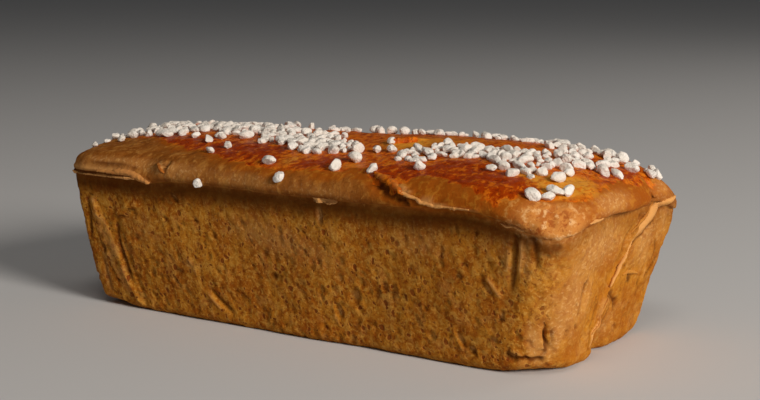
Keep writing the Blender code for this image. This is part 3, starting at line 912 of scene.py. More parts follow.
def lumps(x, y, z, size, seed):
    """Random lumps between about -1 and 1, as large as size, which may differ along x, y and z."""
    cells = 32
    values = np.random.default_rng(seed).uniform(-1, 1, (cells, cells, cells))
    places = np.array([x, y, z]) / np.broadcast_to(size, 3)[:, None]
    low = np.floor(places).astype(int)
    share = places - low
    ease = share * share * (3 - 2 * share)
    total = np.zeros_like(x)
    for corner in np.ndindex(2, 2, 2):
        weight = np.ones_like(x)
        for axis in range(3):
            weight = weight * (ease[axis] if corner[axis] else 1 - ease[axis])
        spot = [(low[axis] + corner[axis]) % cells for axis in range(3)]
        total += weight * values[tuple(spot)]
    return total


def layered_lumps(x, y, z, layers):
    """A sum of random lumps, each with its height, size and seed."""
    return sum(height * lumps(x, y, z, size, seed) for height, size, seed in layers)


def swelling(x, y, z, middle, widths):
    """One at the middle, falling smoothly to nothing over about twice its width along each axis."""
    away = sum(((place - at) / width) ** 2 for place, at, width in zip((x, y, z), middle, widths))
    return np.exp(-away)


def smooth_path(points, steps=8):
    """A Catmull-Rom curve through the points."""
    points = np.array(points, dtype=float)
    padded = np.vstack([2 * points[0] - points[1], points, 2 * points[-1] - points[-2]])
    curve = []
    for before, start, end, after in zip(padded, padded[1:], padded[2:], padded[3:]):
        for step in range(steps):
            t = step / steps
            pull = (end - before) * t
            bend = (2 * before - 5 * start + 4 * end - after) * t**2
            swing = (3 * start - before - 3 * end + after) * t**3
            curve.append(0.5 * (2 * start + pull + bend + swing))
    curve.append(points[-1])
    return np.array(curve)


def side_path():
    """The side from base to lip: the length along it, then rows of outset, height and lip share."""
    lean = math.atan(TIN_SLOPE)
    foot = -TIN_HEIGHT * TIN_SLOPE
    centre = foot - BASE_EDGE_RADIUS * (1 - math.sin(lean)) / math.cos(lean)
    rows = []
    for turn in np.linspace(-math.pi / 2, -lean, 7):
        out = centre + BASE_EDGE_RADIUS * math.cos(turn)
        rows.append((out, BASE_EDGE_RADIUS * (1 + math.sin(turn)), 0.0))
    for share, above in smooth_path(LIP_PATH):
        rows.append((min(above * TIN_SLOPE, 0.0), TIN_HEIGHT + above, share))
    rows = np.array(rows)
    drawn_out = rows[:, 0] + rows[:, 2] * LIP_REACH
    lengths = np.hypot(np.diff(drawn_out), np.diff(rows[:, 1]))
    return np.concatenate([[0.0], np.cumsum(lengths)]), rows


def corner_radius(u, v, rise):
    """The radius of the nearest corner, between its values at the base and at the rim."""
    radius = np.zeros_like(u)
    for (sign_x, sign_y), (at_rim, at_base) in CORNER_RADII.items():
        here = (np.where(u < 0, -1, 1) == sign_x) & (np.where(v < 0, -1, 1) == sign_y)
        radius = np.where(here, at_base + (at_rim - at_base) * rise, radius)
    return radius


def rounded_outline(u, v, half_length, half_width, radius):
    """A point of the square from -1 to 1, moved into a rectangle with round corners."""
    x = u * half_length
    y = v * half_width
    core_x = np.clip(x, radius - half_length, half_length - radius)
    core_y = np.clip(y, radius - half_width, half_width - radius)
    dx = x - core_x
    dy = y - core_y
    length = np.maximum(np.hypot(dx, dy), 1e-9)
    fit = np.maximum(np.abs(dx), np.abs(dy)) / length
    return core_x + dx * fit, core_y + dy * fit


def inset_from_outline(x, y, radius):
    """How far a point lies inside the rim's outline."""
    across_x = np.abs(x) - (HALF_LENGTH - radius)
    across_y = np.abs(y) - (HALF_WIDTH - radius)
    outside = np.hypot(np.maximum(across_x, 0), np.maximum(across_y, 0))
    inside = np.minimum(np.maximum(across_x, across_y), 0)
    return np.maximum(radius - outside - inside, 0)


def crown_height(x, y, inset):
    """The height of the crust above the base, from the lip's widest line to the middle."""
    share = 1 - np.clip(inset / ROLL_WIDTH, 0, 1)
    roll = ROLL_RISE * np.sqrt(1 - share**2)
    across = 1 - np.minimum(np.abs(y) / HALF_WIDTH, 1) ** CROWN_ACROSS
    along = 1 - np.minimum(np.abs(x) / HALF_LENGTH, 1) ** CROWN_ALONG
    swell = 0.5 * slow_waves(x, y, 0 * x, 46, 3) * ramp(inset, 2, 16)
    swell += spots(x, y, CROWN_SWELLS)
    seam = 1.6 * bump(y, 25 + 0.16 * (HALF_LENGTH - x), 5) * ramp(x, 96, 122)
    return TIN_HEIGHT + LIP_PATH[-1][1] + roll + CROWN_RISE * across * along + swell - seam


def left_pleat_line(z):
    """Where the ridge of the front's left pleat runs, by height."""
    return -95 - 0.39 * (z - 2)


def end_fold_line(z):
    """Where the ridge of the right end's fold runs, by height."""
    return np.interp(z, [height for height, _ in END_FOLD], [place for _, place in END_FOLD])


def combed(u, v, height):
    """The cube's grid slid sideways, so that its columns run along the two slanted folds."""
    pleat = (left_pleat_line(height) - PLEAT_MIDDLE) * bump(u * HALF_LENGTH, PLEAT_MIDDLE, 20)
    fold = (end_fold_line(height) - FOLD_MIDDLE) * bump(v * HALF_WIDTH, FOLD_MIDDLE, 26)
    slid_u = u + pleat / HALF_LENGTH * np.clip(-v, 0, 1) ** 8 * (1 - u * u)
    slid_v = v + fold / HALF_WIDTH * np.clip(u, 0, 1) ** 8 * (1 - v * v)
    return slid_u, slid_v


def left_pleat(x, z):
    """The lining's pleat at the left end of the front: a slanted ridge between two creases."""
    ridge_x = left_pleat_line(z)
    inner_x = -94 - 0.225 * (z - 5)
    height = ramp(z, -2, 6) * ramp(54 - z, 0, 8)
    ridge = 1.3 * bump(x, ridge_x, 1.7)
    outer_crease = 1.7 * bump(x, ridge_x - 3.2, 1.5)
    inner_crease = 1.0 * bump(x, inner_x + 2, 1.0)
    flap = 2.2 * ramp(ridge_x - 4 - x, 0, 8)
    return (ridge - outer_crease - inner_crease + flap) * height


def right_creases(x, z):
    """Two upright creases of the lining near the right end of the front."""
    long_crease = 1.2 * bump(x, 105 - 0.19 * (56 - z), 0.9) * ramp(z, 32, 42) * ramp(60 - z, 0, 3)
    short_crease = 1.0 * bump(x, 112.3, 0.9) * ramp(z, 45, 50) * ramp(60 - z, 0, 3)
    return -long_crease - short_crease


def corner_slot(x, y, z):
    """A short slot at the foot of the near right corner."""
    along = (x - 112.2) * 0.7 + (y + 41.5) * 0.7 + 0.35 * (z - 14.5)
    return -2.6 * bump(along, 0, 1.4) * bump(z, 15, 6.5)


def end_seam(y, z):
    """The fold across the right end: a raised pleat above, and a step and notch at its foot."""
    line = end_fold_line(z)
    pleat = 1.7 * bump(y, line, 1.8) * ramp(z, 18, 30)
    groove = 1.5 * bump(y, line + 4.4, 2.2) * ramp(z, 6, 20)
    shoulder = 0.9 * ramp(line + 3 - y, 0, 5) * ramp(40 - z, 0, 20) * ramp(y, -46, -30)
    notch = 6.0 * bump(y, line + 9, 5.0) * ramp(17 - z, 0, 16)
    return pleat - groove + shoulder - notch


def left_end_folds(y, z):
    """The lining's folds on the left end, like those on the right but lower."""
    line = 12 - 0.42 * (z - 30)
    fold = 1.4 * bump(y, line, 2.0) - 1.2 * bump(y, line - 4, 1.8)
    crease = 1.0 * bump(y, 38 + 0.1 * z, 1.2)
    return fold * ramp(z, 4, 14) * ramp(60 - z, 0, 10) - crease * ramp(z, 20, 34)


def back_creases(x, z):
    """Upright creases of the lining near both ends of the back."""
    left = bump(x, -101 - 0.2 * (z - 30), 1.4) * ramp(z, 10, 24)
    right = bump(x, 99 + 0.12 * (z - 30), 1.2) * ramp(z, 24, 36)
    return -(1.3 * left + 1.1 * right) * ramp(60 - z, 0, 4)


def rim_fold(x, z):
    """The torn fold that runs slantwise down the lip near the middle of the front."""
    line = 44.5 + 2.2 * (73.2 - z)
    step = 1.3 * ramp(x, line - 1.2, line + 1.2) * ramp(line + 16 - x, 0, 14)
    return step * ramp(z, 62, 66)


def side_relief(x, y, z, out_x, out_y, lip):
    """How far the side stands out of its plain form, along its outward direction."""
    front = ramp(-out_y, 0.7, 0.97)
    back = ramp(out_y, 0.7, 0.97)
    right = ramp(out_x, 0.7, 0.97)
    left = ramp(-out_x, 0.7, 0.97)
    near_corner = ramp(out_x, 0.2, 0.6) * ramp(-out_y, 0.2, 0.6)
    wall = 1 - ramp(np.abs(lip), 0.0, 0.3)
    relief = front * (left_pleat(x, z) + right_creases(x, z) + rim_fold(x, z))
    relief += right * end_seam(y, z) * wall
    relief += left * left_end_folds(y, z) * wall
    relief += back * back_creases(x, z) * wall
    relief += near_corner * corner_slot(x, y, z)
    relief += 0.45 * slow_waves(x, y, z, 44, 8)
    return relief


def shaped(u, v, w):
    """The loaf's plain surface for points of a cube from -1 to 1: x, y, z and how far each is lip."""
    along, rows = side_path()
    on_top = w > 1 - 1e-6
    here = (w + 1) / 2 * along[-1]
    out, height, lip = (np.interp(here, along, column) for column in rows.T)
    u, v = combed(u, v, height)
    rise = np.clip(height / TIN_HEIGHT, 0, 1)
    edge = (np.abs(u) ** 8 + np.abs(v) ** 8) ** 0.125
    flat_radius = corner_radius(u, v, 1.0)
    flat_x, flat_y = rounded_outline(u, v, HALF_LENGTH, HALF_WIDTH, flat_radius)
    reach = LIP_REACH + spots(flat_x, flat_y, LIP_CHANGES)
    spread = out + lip * reach * edge**2
    radius = corner_radius(u, v, rise)
    fullness = np.where(u < 0, LEFT_FULLNESS * ramp(1 - rise, 0, 0.8), 0.0)
    x, y = rounded_outline(u, v, HALF_LENGTH + spread + fullness, HALF_WIDTH + spread, radius)
    sag = spots(flat_x, flat_y, RIM_SAGS)
    inset = inset_from_outline(flat_x, flat_y, flat_radius)
    z = height - sag * ramp(height, 26, TIN_HEIGHT - 2)
    z = np.where(on_top, crown_height(flat_x, flat_y, inset) - sag, z)
    out_x = np.sign(u) * (np.abs(u) / edge) ** 7
    out_y = np.sign(v) * (np.abs(v) / edge) ** 7
    relief = side_relief(x, y, z, out_x, out_y, lip) * edge**6
    relief *= np.where(on_top, np.exp(-inset / 4), 1.0)
    x = x + out_x * relief
    y = y + out_y * relief
    z = z + spots(x, y, BASE_LIFTS) * ramp(14 - z, 0, 14)
    return x, y, z, np.where(on_top, 1.0, lip)


def cut_cube(counts):
    """A cube of two units whose sides are cut into a grid, so many to each axis."""
    mesh = bmesh.new()
    bmesh.ops.create_cube(mesh, size=2)
    for axis, count in enumerate(counts):
        edges = []
        for edge in mesh.edges:
            start, end = edge.verts
            if abs(start.co[axis] - end.co[axis]) > 1e-6:
                edges.append(edge)
        bmesh.ops.subdivide_edges(mesh, edges=edges, cuts=count - 1, use_grid_fill=True)
    return mesh


def washed(x, y, z, crown):
    """How thickly the egg wash lies, from nothing to one on the crown, and how far it faintly ran."""
    front = np.interp(x, *zip(*FRONT_WASH))
    right = np.interp(y, *zip(*RIGHT_WASH))
    inside = np.minimum.reduce([y - front, right - x, x - LEFT_WASH, BACK_WASH - y])
    brushed = inside + layered_lumps(x, y, z, BRUSH_MARKS)
    low = RUN_DROP * ramp(x, *RUN_PLACES)
    run = layered_lumps(x, y, z, WASH_RUNS) + low
    return ramp(brushed, *WASH_EDGE) * crown, ramp(brushed + run, *RUN_EDGE) * ramp(z + low, *RUN_HEIGHTS)


def from_line(across, up, points):
    """The distance to a line, below zero on its right, a fade towards its ends, and each nearest place."""
    points = np.array(points, dtype=float)[:, :2]
    lengths = np.hypot(*np.diff(points, axis=0).T)
    total = lengths.sum()
    nearest = np.full(len(across), 1e9)
    reached = np.zeros(len(across))
    covered = 0.0
    for start, end, length in zip(points, points[1:], lengths):
        way = (end - start) / length
        along = (across - start[0]) * way[0] + (up - start[1]) * way[1]
        held = np.clip(along, 0, length)
        off_across = across - start[0] - held * way[0]
        off_up = up - start[1] - held * way[1]
        distance = np.hypot(off_across, off_up)
        side = np.where(way[0] * off_up - way[1] * off_across < 0, -1, 1)
        closer = distance < np.abs(nearest)
        nearest = np.where(closer, distance * side, nearest)
        reached = np.where(closer, covered + held, reached)
        covered += length
    fade = ramp(reached, 0, total * LINE_FADE) * ramp(total - reached, 0, total * LINE_FADE)
    return nearest, fade, reached


def scattered_dents(side):
    """Rows of dents strewn over one side of the loaf, up to the lip."""
    count, breadth = SCATTERED_DENTS.get(side, (0, 0))
    draw = random.Random(DENT_SEED + breadth)
    rows = []
    for _ in range(count):
        across = draw.uniform(-breadth, breadth)
        up = DENTED_HEIGHT * draw.uniform(LOWEST_DENT, 1) ** DENT_CROWDING
        width = draw.uniform(*DENT_WIDTHS)
        length = draw.uniform(*DENT_LENGTHS)
        rows.append((across, up, width, length, draw.gauss(0, DENT_LEAN), draw.uniform(*DENT_DEPTHS)))
    return rows


def pressed_marks(across, up, side):
    """One side's marks: the relief that the lining and the baking left, how dark by browning and painted
    shade (below zero, paler crust and painted highlight), and how pale and smooth.
    """
    relief, dark, pale = np.zeros((3, len(across)))
    rim, rim_width, rim_height = DENT_RIM
    ring, ring_width, ring_darkness = DENT_RING
    border, border_width, border_darkness = STRIP_LINE
    step, step_width, step_darkness = STEP_LINE
    for middle, height, width, length, lean, depth in (*DENTS.get(side, ()), *scattered_dents(side)):
        cos, sin = math.cos(math.radians(lean)), math.sin(math.radians(lean))
        right = (across - middle) * cos + (up - height) * sin
        above = (up - height) * cos - (across - middle) * sin
        away = np.hypot(right / width, above / length)
        relief -= depth * (1 - ramp(away, *DENT_WALL)) - rim_height * depth * bump(away, rim, rim_width)
        # The dark ring is painted shade inside the dent
        dark += ring_darkness * bump(away, ring, ring_width) * min(depth, 1.0)
        pale += ramp(depth, *PALE_DEPTHS) * (1 - ramp(away, *PALE_FLOOR))
    for height, width, darkness, points in LINES[side]:
        distance, fade, _ = from_line(across, up, points)
        relief += height * bump(distance, 0, width) * fade
        dark += darkness * bump(distance, 0, width) * fade
    for height, darkness, points in STRIPS.get(side, ()):
        distance, _, reached = from_line(across, up, points)
        lengths = [math.dist(start[:2], end[:2]) for start, end in zip(points, points[1:])]
        half = np.interp(reached, np.cumsum([0, *lengths]), [width for _, _, width in points])
        inside = ramp(half - np.abs(distance), *STRIP_BORDER)
        relief += height * inside
        dark += darkness * inside + border_darkness * bump(np.abs(distance), half + border, border_width)
    for height, fall, points in STEPS.get(side, ()):
        distance, fade, _ = from_line(across, up, points)
        relief += height * ramp(distance, *STEP_RISE) * ramp(fall - distance, 0, fall) * fade
        dark += step_darkness * bump(distance, step, step_width) * fade
    for middle, height, width, length, strength in PALE_PRESS.get(side, ()):
        pale += strength * np.exp(-(((across - middle) / width) ** 2) - ((up - height) / length) ** 2)
    return np.array([relief, dark, pale])


def marked(relief, x, y, z, normals, top):
    """The relief with the marks of every side added, how dark they are by browning and painted shade (below
    zero, paler with painted highlight), and how pale and smooth.
    """
    upright = 1 - ramp(normals[:, 2], *ROLLED_OVER)
    sides = {
        "front": (x, z, ramp(-normals[:, 1], *SIDE_FACING) * upright),
        "back": (x, z, ramp(normals[:, 1], *SIDE_FACING) * upright),
        "right": (y, z, ramp(normals[:, 0], *SIDE_FACING) * upright),
        "left": (y, z, ramp(-normals[:, 0], *SIDE_FACING) * upright),
        "top": (x, y, ramp(normals[:, 2], *TOP_FACING) * top),
    }
    marks = np.array([relief, np.zeros_like(x), np.zeros_like(x)])
    for side, (across, up, share) in sides.items():
        near = np.flatnonzero(share > 0)
        marks[:, near] += pressed_marks(across[near], up[near], side) * share[near]
    return marks


def fine_relief(x, y, z, wall, band, crown, bulge, to_end):
    """The crust's smaller relief along its outward direction, apart from its marks.

    wall, band and crown say how far a point is each of them, and to_end how squarely it faces an end.
    """
    lump = {kind: layered_lumps(x, y, z, layers) for kind, layers in CRUST_LUMPS.items()}
    relief = wall * (lump["crumb"] + lump["heave"])
    relief += band * (BAND_HEAVE * lump["heave"] + lump["stretch"])
    relief += crown * (lump["wrinkle"] + lump["heave"])
    relief += bulge * lump["knobs"]
    relief += lump["end"] * wall * to_end
    return relief + CORNER_FILL * swelling(x, y, z, *CORNER_CREASE)


def painted_shading(x, z, height, wall, normals, ends):
    """Painted shade on the crust: below the lip, on the lip's lower edge, on the wall's dark places, at its
    foot and on the ends.
    """
    dark = ramp(height, *LIP_SHADE) * wall
    fade = ramp(LIP_EDGE_END - x, 0, LIP_EDGE_FADE)
    dark += LIP_EDGE_DARKNESS * (1 - ramp(height, *LIP_EDGE)) * fade * (1 - wall)
    dark += spots(x, z, PAINTED_WALL_SHADE) * wall * ramp(-normals[:, 1], *LONG_FACING)
    dark += FOOT_DARKNESS * (1 - ramp(height, *FOOT_SHADE)) * wall
    return dark + END_SHADE * ends * wall


def crust_mesh():
    """The loaf's surface with all its relief, and how it is coloured as attributes."""
    along, rows = side_path()
    mesh = cut_cube([round(length / CRUST_STEP) for length in (TIN_LENGTH, TIN_WIDTH, along[-1])])
    u, v, w = np.array([vertex.co[:] for vertex in mesh.verts]).T
    x, y, z, lip = shaped(u, v, w)
    for vertex, place in zip(mesh.verts, np.column_stack([x, y, z])):
        vertex.co = place
    mesh.normal_update()
    normals = np.array([vertex.normal[:] for vertex in mesh.verts])
    top = w > 1 - 1e-6
    base = w < -1 + 1e-6
    wall = (1 - ramp(np.abs(lip), *WALL_END)) * ~top
    crown = top * ramp(normals[:, 2], *CROWN_FACING)
    band = np.clip(1 - wall - crown, 0, 1)
    bulge = np.minimum(BULGE_STRENGTH * swelling(x, y, z, *BULGE), 1)
    ends = ramp(np.abs(normals[:, 0]), *END_FACING)
    height = np.interp((w + 1) / 2 * along[-1], along, rows[:, 1])
    # Painted shade, for colour only
    under = painted_shading(x, z, height, wall, normals, ends)
    relief = fine_relief(x, y, z, wall, band, crown, bulge, np.abs(normals[:, 0]))
    relief, dark, pale = marked(relief, x, y, z, normals, top)
    relief *= ramp(w, *FOOT_FADE)
    x, y, z = (np.array([x, y, z]).T + normals * relief[:, None]).T
    z = np.maximum(z, 0)
    wash, tint = washed(x, y, z, (1 - wall) * ramp(normals[:, 2], *WASH_FACING))
    smooth = np.maximum(END_SMOOTHNESS * ends, PALE_SMOOTHNESS * np.clip(pale, 0, 1))
    colours = {
        "wash": wash,
        "tint": tint * (1 - wall),
        "wall": wall,
        "painted_shade": under * (END_SHARE + (1 - END_SHARE) * ramp(np.abs(normals[:, 1]), *LONG_FACING)),
        "rough": wall * (1 - smooth),
        "pits": wall * (1 - under) * (1 - smooth),
        "dark_bake_and_shade": spots(x, y, DARK_BAKE_AND_SHADE) * wash,
        "pale_bake_and_highlight": spots(x, y, PALE_BAKE_AND_HIGHLIGHT) * wash,
        # Browning and painted shade in creases, dents and along strip and step edges
        "crease_brown_and_shade": np.clip(dark, 0, 1),
        # Paler crust and painted highlight on ridges and proud edges
        "ridge_pale_and_highlight": np.clip(-dark, 0, 1),
        "pale": np.clip(pale, 0, 1) * (1 - wash),
        "bulge": bulge * (1 - wash),
    }
    data = coloured(mesh, np.column_stack([x, y, z]) * MM, colours, base)
    data.name = "baked_crust"
    return data


def coloured(mesh, places, colours, base):
    """A mesh of the grid at its places, with its colours as attributes and its flat base filled plainly."""
    layers = {name: mesh.verts.layers.float.new(name) for name in colours}
    for vertex, place in zip(mesh.verts, places):
        vertex.co = place
    for name, values in colours.items():
        layer = layers[name]
        for vertex, value in zip(mesh.verts, values.tolist()):
            vertex[layer] = value
    flat = {vertex for vertex in mesh.verts if base[vertex.index] and vertex.co.z < FLAT_HEIGHT}
    under = [face for face in mesh.faces if flat.issuperset(face.verts)]
    bmesh.ops.delete(mesh, geom=under, context="FACES")
    rim = [edge for edge in mesh.edges if edge.is_boundary]
    bmesh.ops.triangle_fill(mesh, edges=rim, use_beauty=True)
    bmesh.ops.recalc_face_normals(mesh, faces=mesh.faces)
    data = bpy.data.meshes.new("crust")
    mesh.to_mesh(data)
    mesh.free()
    return data


def edge_rows(points):
    """Even steps along an edge: the place on the side, the way across the edge, and half its width."""
    points = np.array(points)
    lengths = np.hypot(*np.diff(points[:, :2], axis=0).T)
    known = np.cumsum([0, *lengths])
    along = np.linspace(0, known[-1], round(known[-1] / EDGE_STEP) + 1)
    across, up, half = (np.interp(along, known, column) for column in points.T)
    way = np.gradient(np.column_stack([across, up]), axis=0)
    way /= np.linalg.norm(way, axis=1)[:, None]
    return zip(across, up, -way[:, 1], way[:, 0], half)


def edges_mesh(crust):
    """Every proud edge as a closed sliver laid on the crust where its side is seen from straight ahead."""
    places = [vertex.co for vertex in crust.vertices]
    tree = BVHTree.FromPolygons(places, [face.vertices for face in crust.polygons])
    views = {
        "front": (lambda across, up: (across, -EDGE_VIEW, up), Vector((0, 1, 0))),
        "right": (lambda across, up: (EDGE_VIEW, across, up), Vector((-1, 0, 0))),
        "top": (lambda across, up: (across, up, EDGE_VIEW), Vector((0, 0, -1))),
    }
    mesh = bmesh.new()
    layers = [mesh.verts.layers.float.new(name) for name in ("ridge_pale_and_highlight", "wash", "tint", "wall")]
    draw = random.Random(EDGE_SEED)
    for side, height, *shares, points in EDGES:
        eye, look = views[side]
        rings = []
        for across, up, right, above, half in edge_rows(points):
            half *= draw.uniform(*EDGE_WIDTHS)
            rise = height * draw.uniform(*EDGE_HEIGHTS)
            ring = []
            for share, lift in EDGE_SECTION:
                start = Vector(eye(across + right * half * share, up + above * half * share)) * MM
                place, outward, _, _ = tree.ray_cast(start, look)
                ring.append(mesh.verts.new(place + outward * rise * lift * min(1, half / EDGE_FULL) * MM))
            rings.append(ring)
        for ring, after in zip(rings, rings[1:]):
            for one, two, three, four in zip(ring, ring[1:] + ring[:1], after[1:] + after[:1], after):
                mesh.faces.new((one, two, three, four))
        mesh.faces.new(rings[0])
        mesh.faces.new(rings[-1])
        for vertex in [vertex for ring in rings for vertex in ring]:
            for layer, share in zip(layers, shares):
                vertex[layer] = share
    bmesh.ops.recalc_face_normals(mesh, faces=mesh.faces)
    data = bpy.data.meshes.new("torn_edges")
    mesh.to_mesh(data)
    mesh.free()
    return data


def linear(code):
    """A colour given as sRGB hex, as the linear values that Blender's sockets take."""
    channels = [int(code[place : place + 2], 16) / 255 for place in (1, 3, 5)]
    return [c / 12.92 if c <= 0.04045 else ((c + 0.055) / 1.055) ** 2.4 for c in channels] + [1.0]


# Settings that several nodes share
TIMES = {"operation": "MULTIPLY"}
TIMES_PLUS = {"operation": "MULTIPLY_ADD"}
MINUS = {"operation": "SUBTRACT"}
SMOOTH = {"interpolation_type": "SMOOTHSTEP"}


def add(tree, kind, settings=None, **links):
    """Adds a node with its settings, and links or sets the inputs that are named with underscores."""
    node = tree.nodes.new("ShaderNode" + kind)
    for name, value in (settings or {}).items():
        setattr(node, name, value)
    for name, value in links.items():
        if name.startswith("input_"):
            socket = node.inputs[int(name[6:])]
        else:
            socket = node.inputs[name.replace("_", " ")]
        if isinstance(value, bpy.types.NodeSocket):
            tree.links.new(value, socket)
        else:
            socket.default_value = value
    return node


def material(name):
    """A new material, its tree and its Principled shader."""
    made = bpy.data.materials.new(name)
    made.use_nodes = True
    return made, made.node_tree, made.node_tree.nodes["Principled BSDF"]


def lay_patterns(tree, fields):
    """Noise patterns, drawn out across the loaf as the dough was."""
    wobble = add(tree, "TexNoise", None, Vector=fields["straight"], Scale=1 / (WOBBLE_SIZE * MM), Detail=2)
    fields["bent"] = add(
        tree, "VectorMath", TIMES_PLUS,
        input_0=wobble.outputs["Color"], input_1=(WOBBLE * MM,) * 3, input_2=fields["straight"],
    ).outputs[0]
    for name, place, squeezed, size, detail in PATTERNS:
        mapped = add(tree, "Mapping", None, Vector=fields[place], Scale=(1, PATTERN_STRETCH, squeezed))
        fields[name] = add(
            tree, "TexNoise", None,
            Vector=mapped.outputs[0], Scale=1 / (size * MM), Detail=detail, Roughness=0.6,
        ).outputs[0]


def open_pits(tree, fields):
    """Round pits of three sizes in some of a pattern's cells: a paler ring round each, a painted highlight,
    and their dark holes.
    """
    depth = -1.0
    for size, least, widest in PITS:
        mapped = add(tree, "Mapping", None, Vector=fields["bent"], Scale=(1, 1, PIT_SQUEEZE)).outputs[0]
        cells = add(tree, "TexVoronoi", None, Vector=mapped, Scale=1 / (size * MM))
        lot = add(tree, "SeparateColor", None, Color=cells.outputs["Color"]).outputs[0]
        radius = add(
            tree, "MapRange", None, Value=lot, From_Min=least, From_Max=1.0, To_Min=NO_PIT, To_Max=widest
        ).outputs[0]
        inside = add(tree, "Math", MINUS, input_0=radius, input_1=cells.outputs["Distance"]).outputs[0]
        depth = add(tree, "Math", {"operation": "MAXIMUM"}, input_0=inside, input_1=depth).outputs[0]
    for name, (low, high) in PIT_PARTS.items():
        shown = add(tree, "MapRange", SMOOTH, Value=depth, From_Min=low, From_Max=high).outputs[0]
        fields[name] = add(tree, "Math", TIMES, input_0=shown, input_1=fields["pits"]).outputs[0]


def brush_wash(tree, fields):
    """The wash: it ends in a broken edge, is darkest where it browned most and where shade is painted towards
    the left, and is even where pale wash and painted highlight lighten it.
    """
    for name, (source, spread, low, high) in WASHES.items():
        broken = add(
            tree, "Math", TIMES_PLUS, input_0=fields["blotch"], input_1=spread, input_2=-0.5 * spread
        ).outputs[0]
        laid = add(tree, "Math", {"operation": "ADD"}, input_0=broken, input_1=fields[source]).outputs[0]
        fields[name] = add(tree, "MapRange", SMOOTH, Value=laid, From_Min=low, From_Max=high).outputs[0]
    even = add(
        tree, "MapRange", None, Value=fields["pale_bake_and_highlight"], To_Min=1.0, To_Max=PALE_EVENNESS
    ).outputs[0]
    fields["deep"] = add(tree, "Math", TIMES, input_0=even, input_1=fields["glaze"]).outputs[0]


def brioche_crust():
    """Brioche crust, baked against a paper lining below and brushed with egg wash above.

    The wall is matt golden brown, mottled, and pitted where bubbles met the lining. The lip above it
    is stretched, plainer and tan. The wash browned to a glossy red amber, darkest near its edge.
    """
    made, tree, shader = material("brioche_crust")
    # Every place, share and pattern by its name, as the tables above give it
    fields = {"straight": add(tree, "TexCoord").outputs["Object"]}
    for name in CRUST_SHARES:
        fields[name] = add(tree, "Attribute", {"attribute_name": name}).outputs["Fac"]
    fields["lip"] = add(tree, "Math", MINUS, input_0=1.0, input_1=fields["wall"]).outputs[0]
    lay_patterns(tree, fields)
    open_pits(tree, fields)
    brush_wash(tree, fields)
    colour = linear(CRUST_COLOUR)
    for source, low, high, most, part, code in CRUST_LAYERS:
        share = add(
            tree, "MapRange", SMOOTH, Value=fields[source], From_Min=low, From_Max=high, To_Max=most
        ).outputs[0]
        if part:
            share = add(tree, "Math", TIMES, input_0=share, input_1=fields[part]).outputs[0]
        colour = add(
            tree, "Mix", {"data_type": "RGBA"}, input_0=share, input_6=colour, input_7=linear(code)
        ).outputs[2]
    tree.links.new(colour, shader.inputs["Base Color"])
    gloss = add(
        tree, "MapRange", None, Value=fields["glaze"], To_Min=CRUST_ROUGHNESS, To_Max=GLAZE_ROUGHNESS
    ).outputs[0]
    tree.links.new(gloss, shader.inputs["Roughness"])
    film = add(tree, "MapRange", None, Value=fields["glaze"], To_Max=GLAZE_FILM).outputs[0]
    tree.links.new(film, shader.inputs["Coat Weight"])
    shader.inputs["Coat Roughness"].default_value = 0.2
    shader.inputs["IOR"].default_value = 1.45
    # Baked dough is rough at a scale too fine to draw, so it mirrors far less than its IOR would have it
    shader.inputs["Specular IOR Level"].default_value = 0.06
    height = 0.0
    for name, rise, part in CRUST_BUMPS:
        source = fields[name]
        if part:
            source = add(tree, "Math", TIMES, input_0=source, input_1=fields[part]).outputs[0]
        height = add(tree, "Math", TIMES_PLUS, input_0=source, input_1=rise, input_2=height).outputs[0]
    relief = add(tree, "Bump", None, Strength=1.0, Distance=MM, Height=height)
    tree.links.new(relief.outputs[0], shader.inputs["Normal"])
    tree.links.new(relief.outputs[0], shader.inputs["Coat Normal"])
    return made


def pearl_sugar():
    """Pearl sugar: grains pressed into opaque white nibs, matt and a little grainy."""
    made, tree, shader = material("pearl_sugar")
    where = add(tree, "TexCoord").outputs["Object"]
    grain = add(
        tree, "TexNoise", None, Vector=where, Scale=1 / (SUGAR_GRAIN * MM), Detail=3, Roughness=0.7
    ).outputs[0]
    patch = add(tree, "TexNoise", None, Vector=where, Scale=1 / (SUGAR_PATCH * MM), Detail=1).outputs[0]
    share = add(tree, "MapRange", None, Value=patch, From_Min=0.3, From_Max=0.7).outputs[0]
    cream, white = (linear(code) for code in SUGAR_COLOURS)
    white = add(tree, "Mix", {"data_type": "RGBA"}, input_0=share, input_6=cream, input_7=white).outputs[2]
    tree.links.new(white, shader.inputs["Base Color"])
    shader.inputs["Roughness"].default_value = 0.55
    shader.inputs["IOR"].default_value = 1.54
    relief = add(tree, "Bump", None, Strength=1.0, Distance=SUGAR_GRAIN_DEPTH * MM, Height=grain)
    tree.links.new(relief.outputs[0], shader.inputs["Normal"])
    return made


def painted_floor():
    """A studio floor painted matt and pale."""
    made, _, shader = material("painted_floor")
    shader.inputs["Base Color"].default_value = linear(FLOOR_COLOUR)
    shader.inputs["Roughness"].default_value = 0.85
    return made


def fits(x, y, length, nibs):
    """Whether a nib would lie inside the rim, off the bare spots and clear of the others' middles."""
    if abs(x) > HALF_LENGTH - NIB_MARGIN or abs(y) > HALF_WIDTH - NIB_MARGIN:
        return False
    for bare_x, bare_y, radius in BARE_SPOTS:
        if math.hypot(x - bare_x, y - bare_y) < radius:
            return False
    for other_x, other_y, other_length, _ in nibs:
        if math.hypot(x - other_x, y - other_y) < NIB_SPACING * (length + other_length):
            return False
    return True


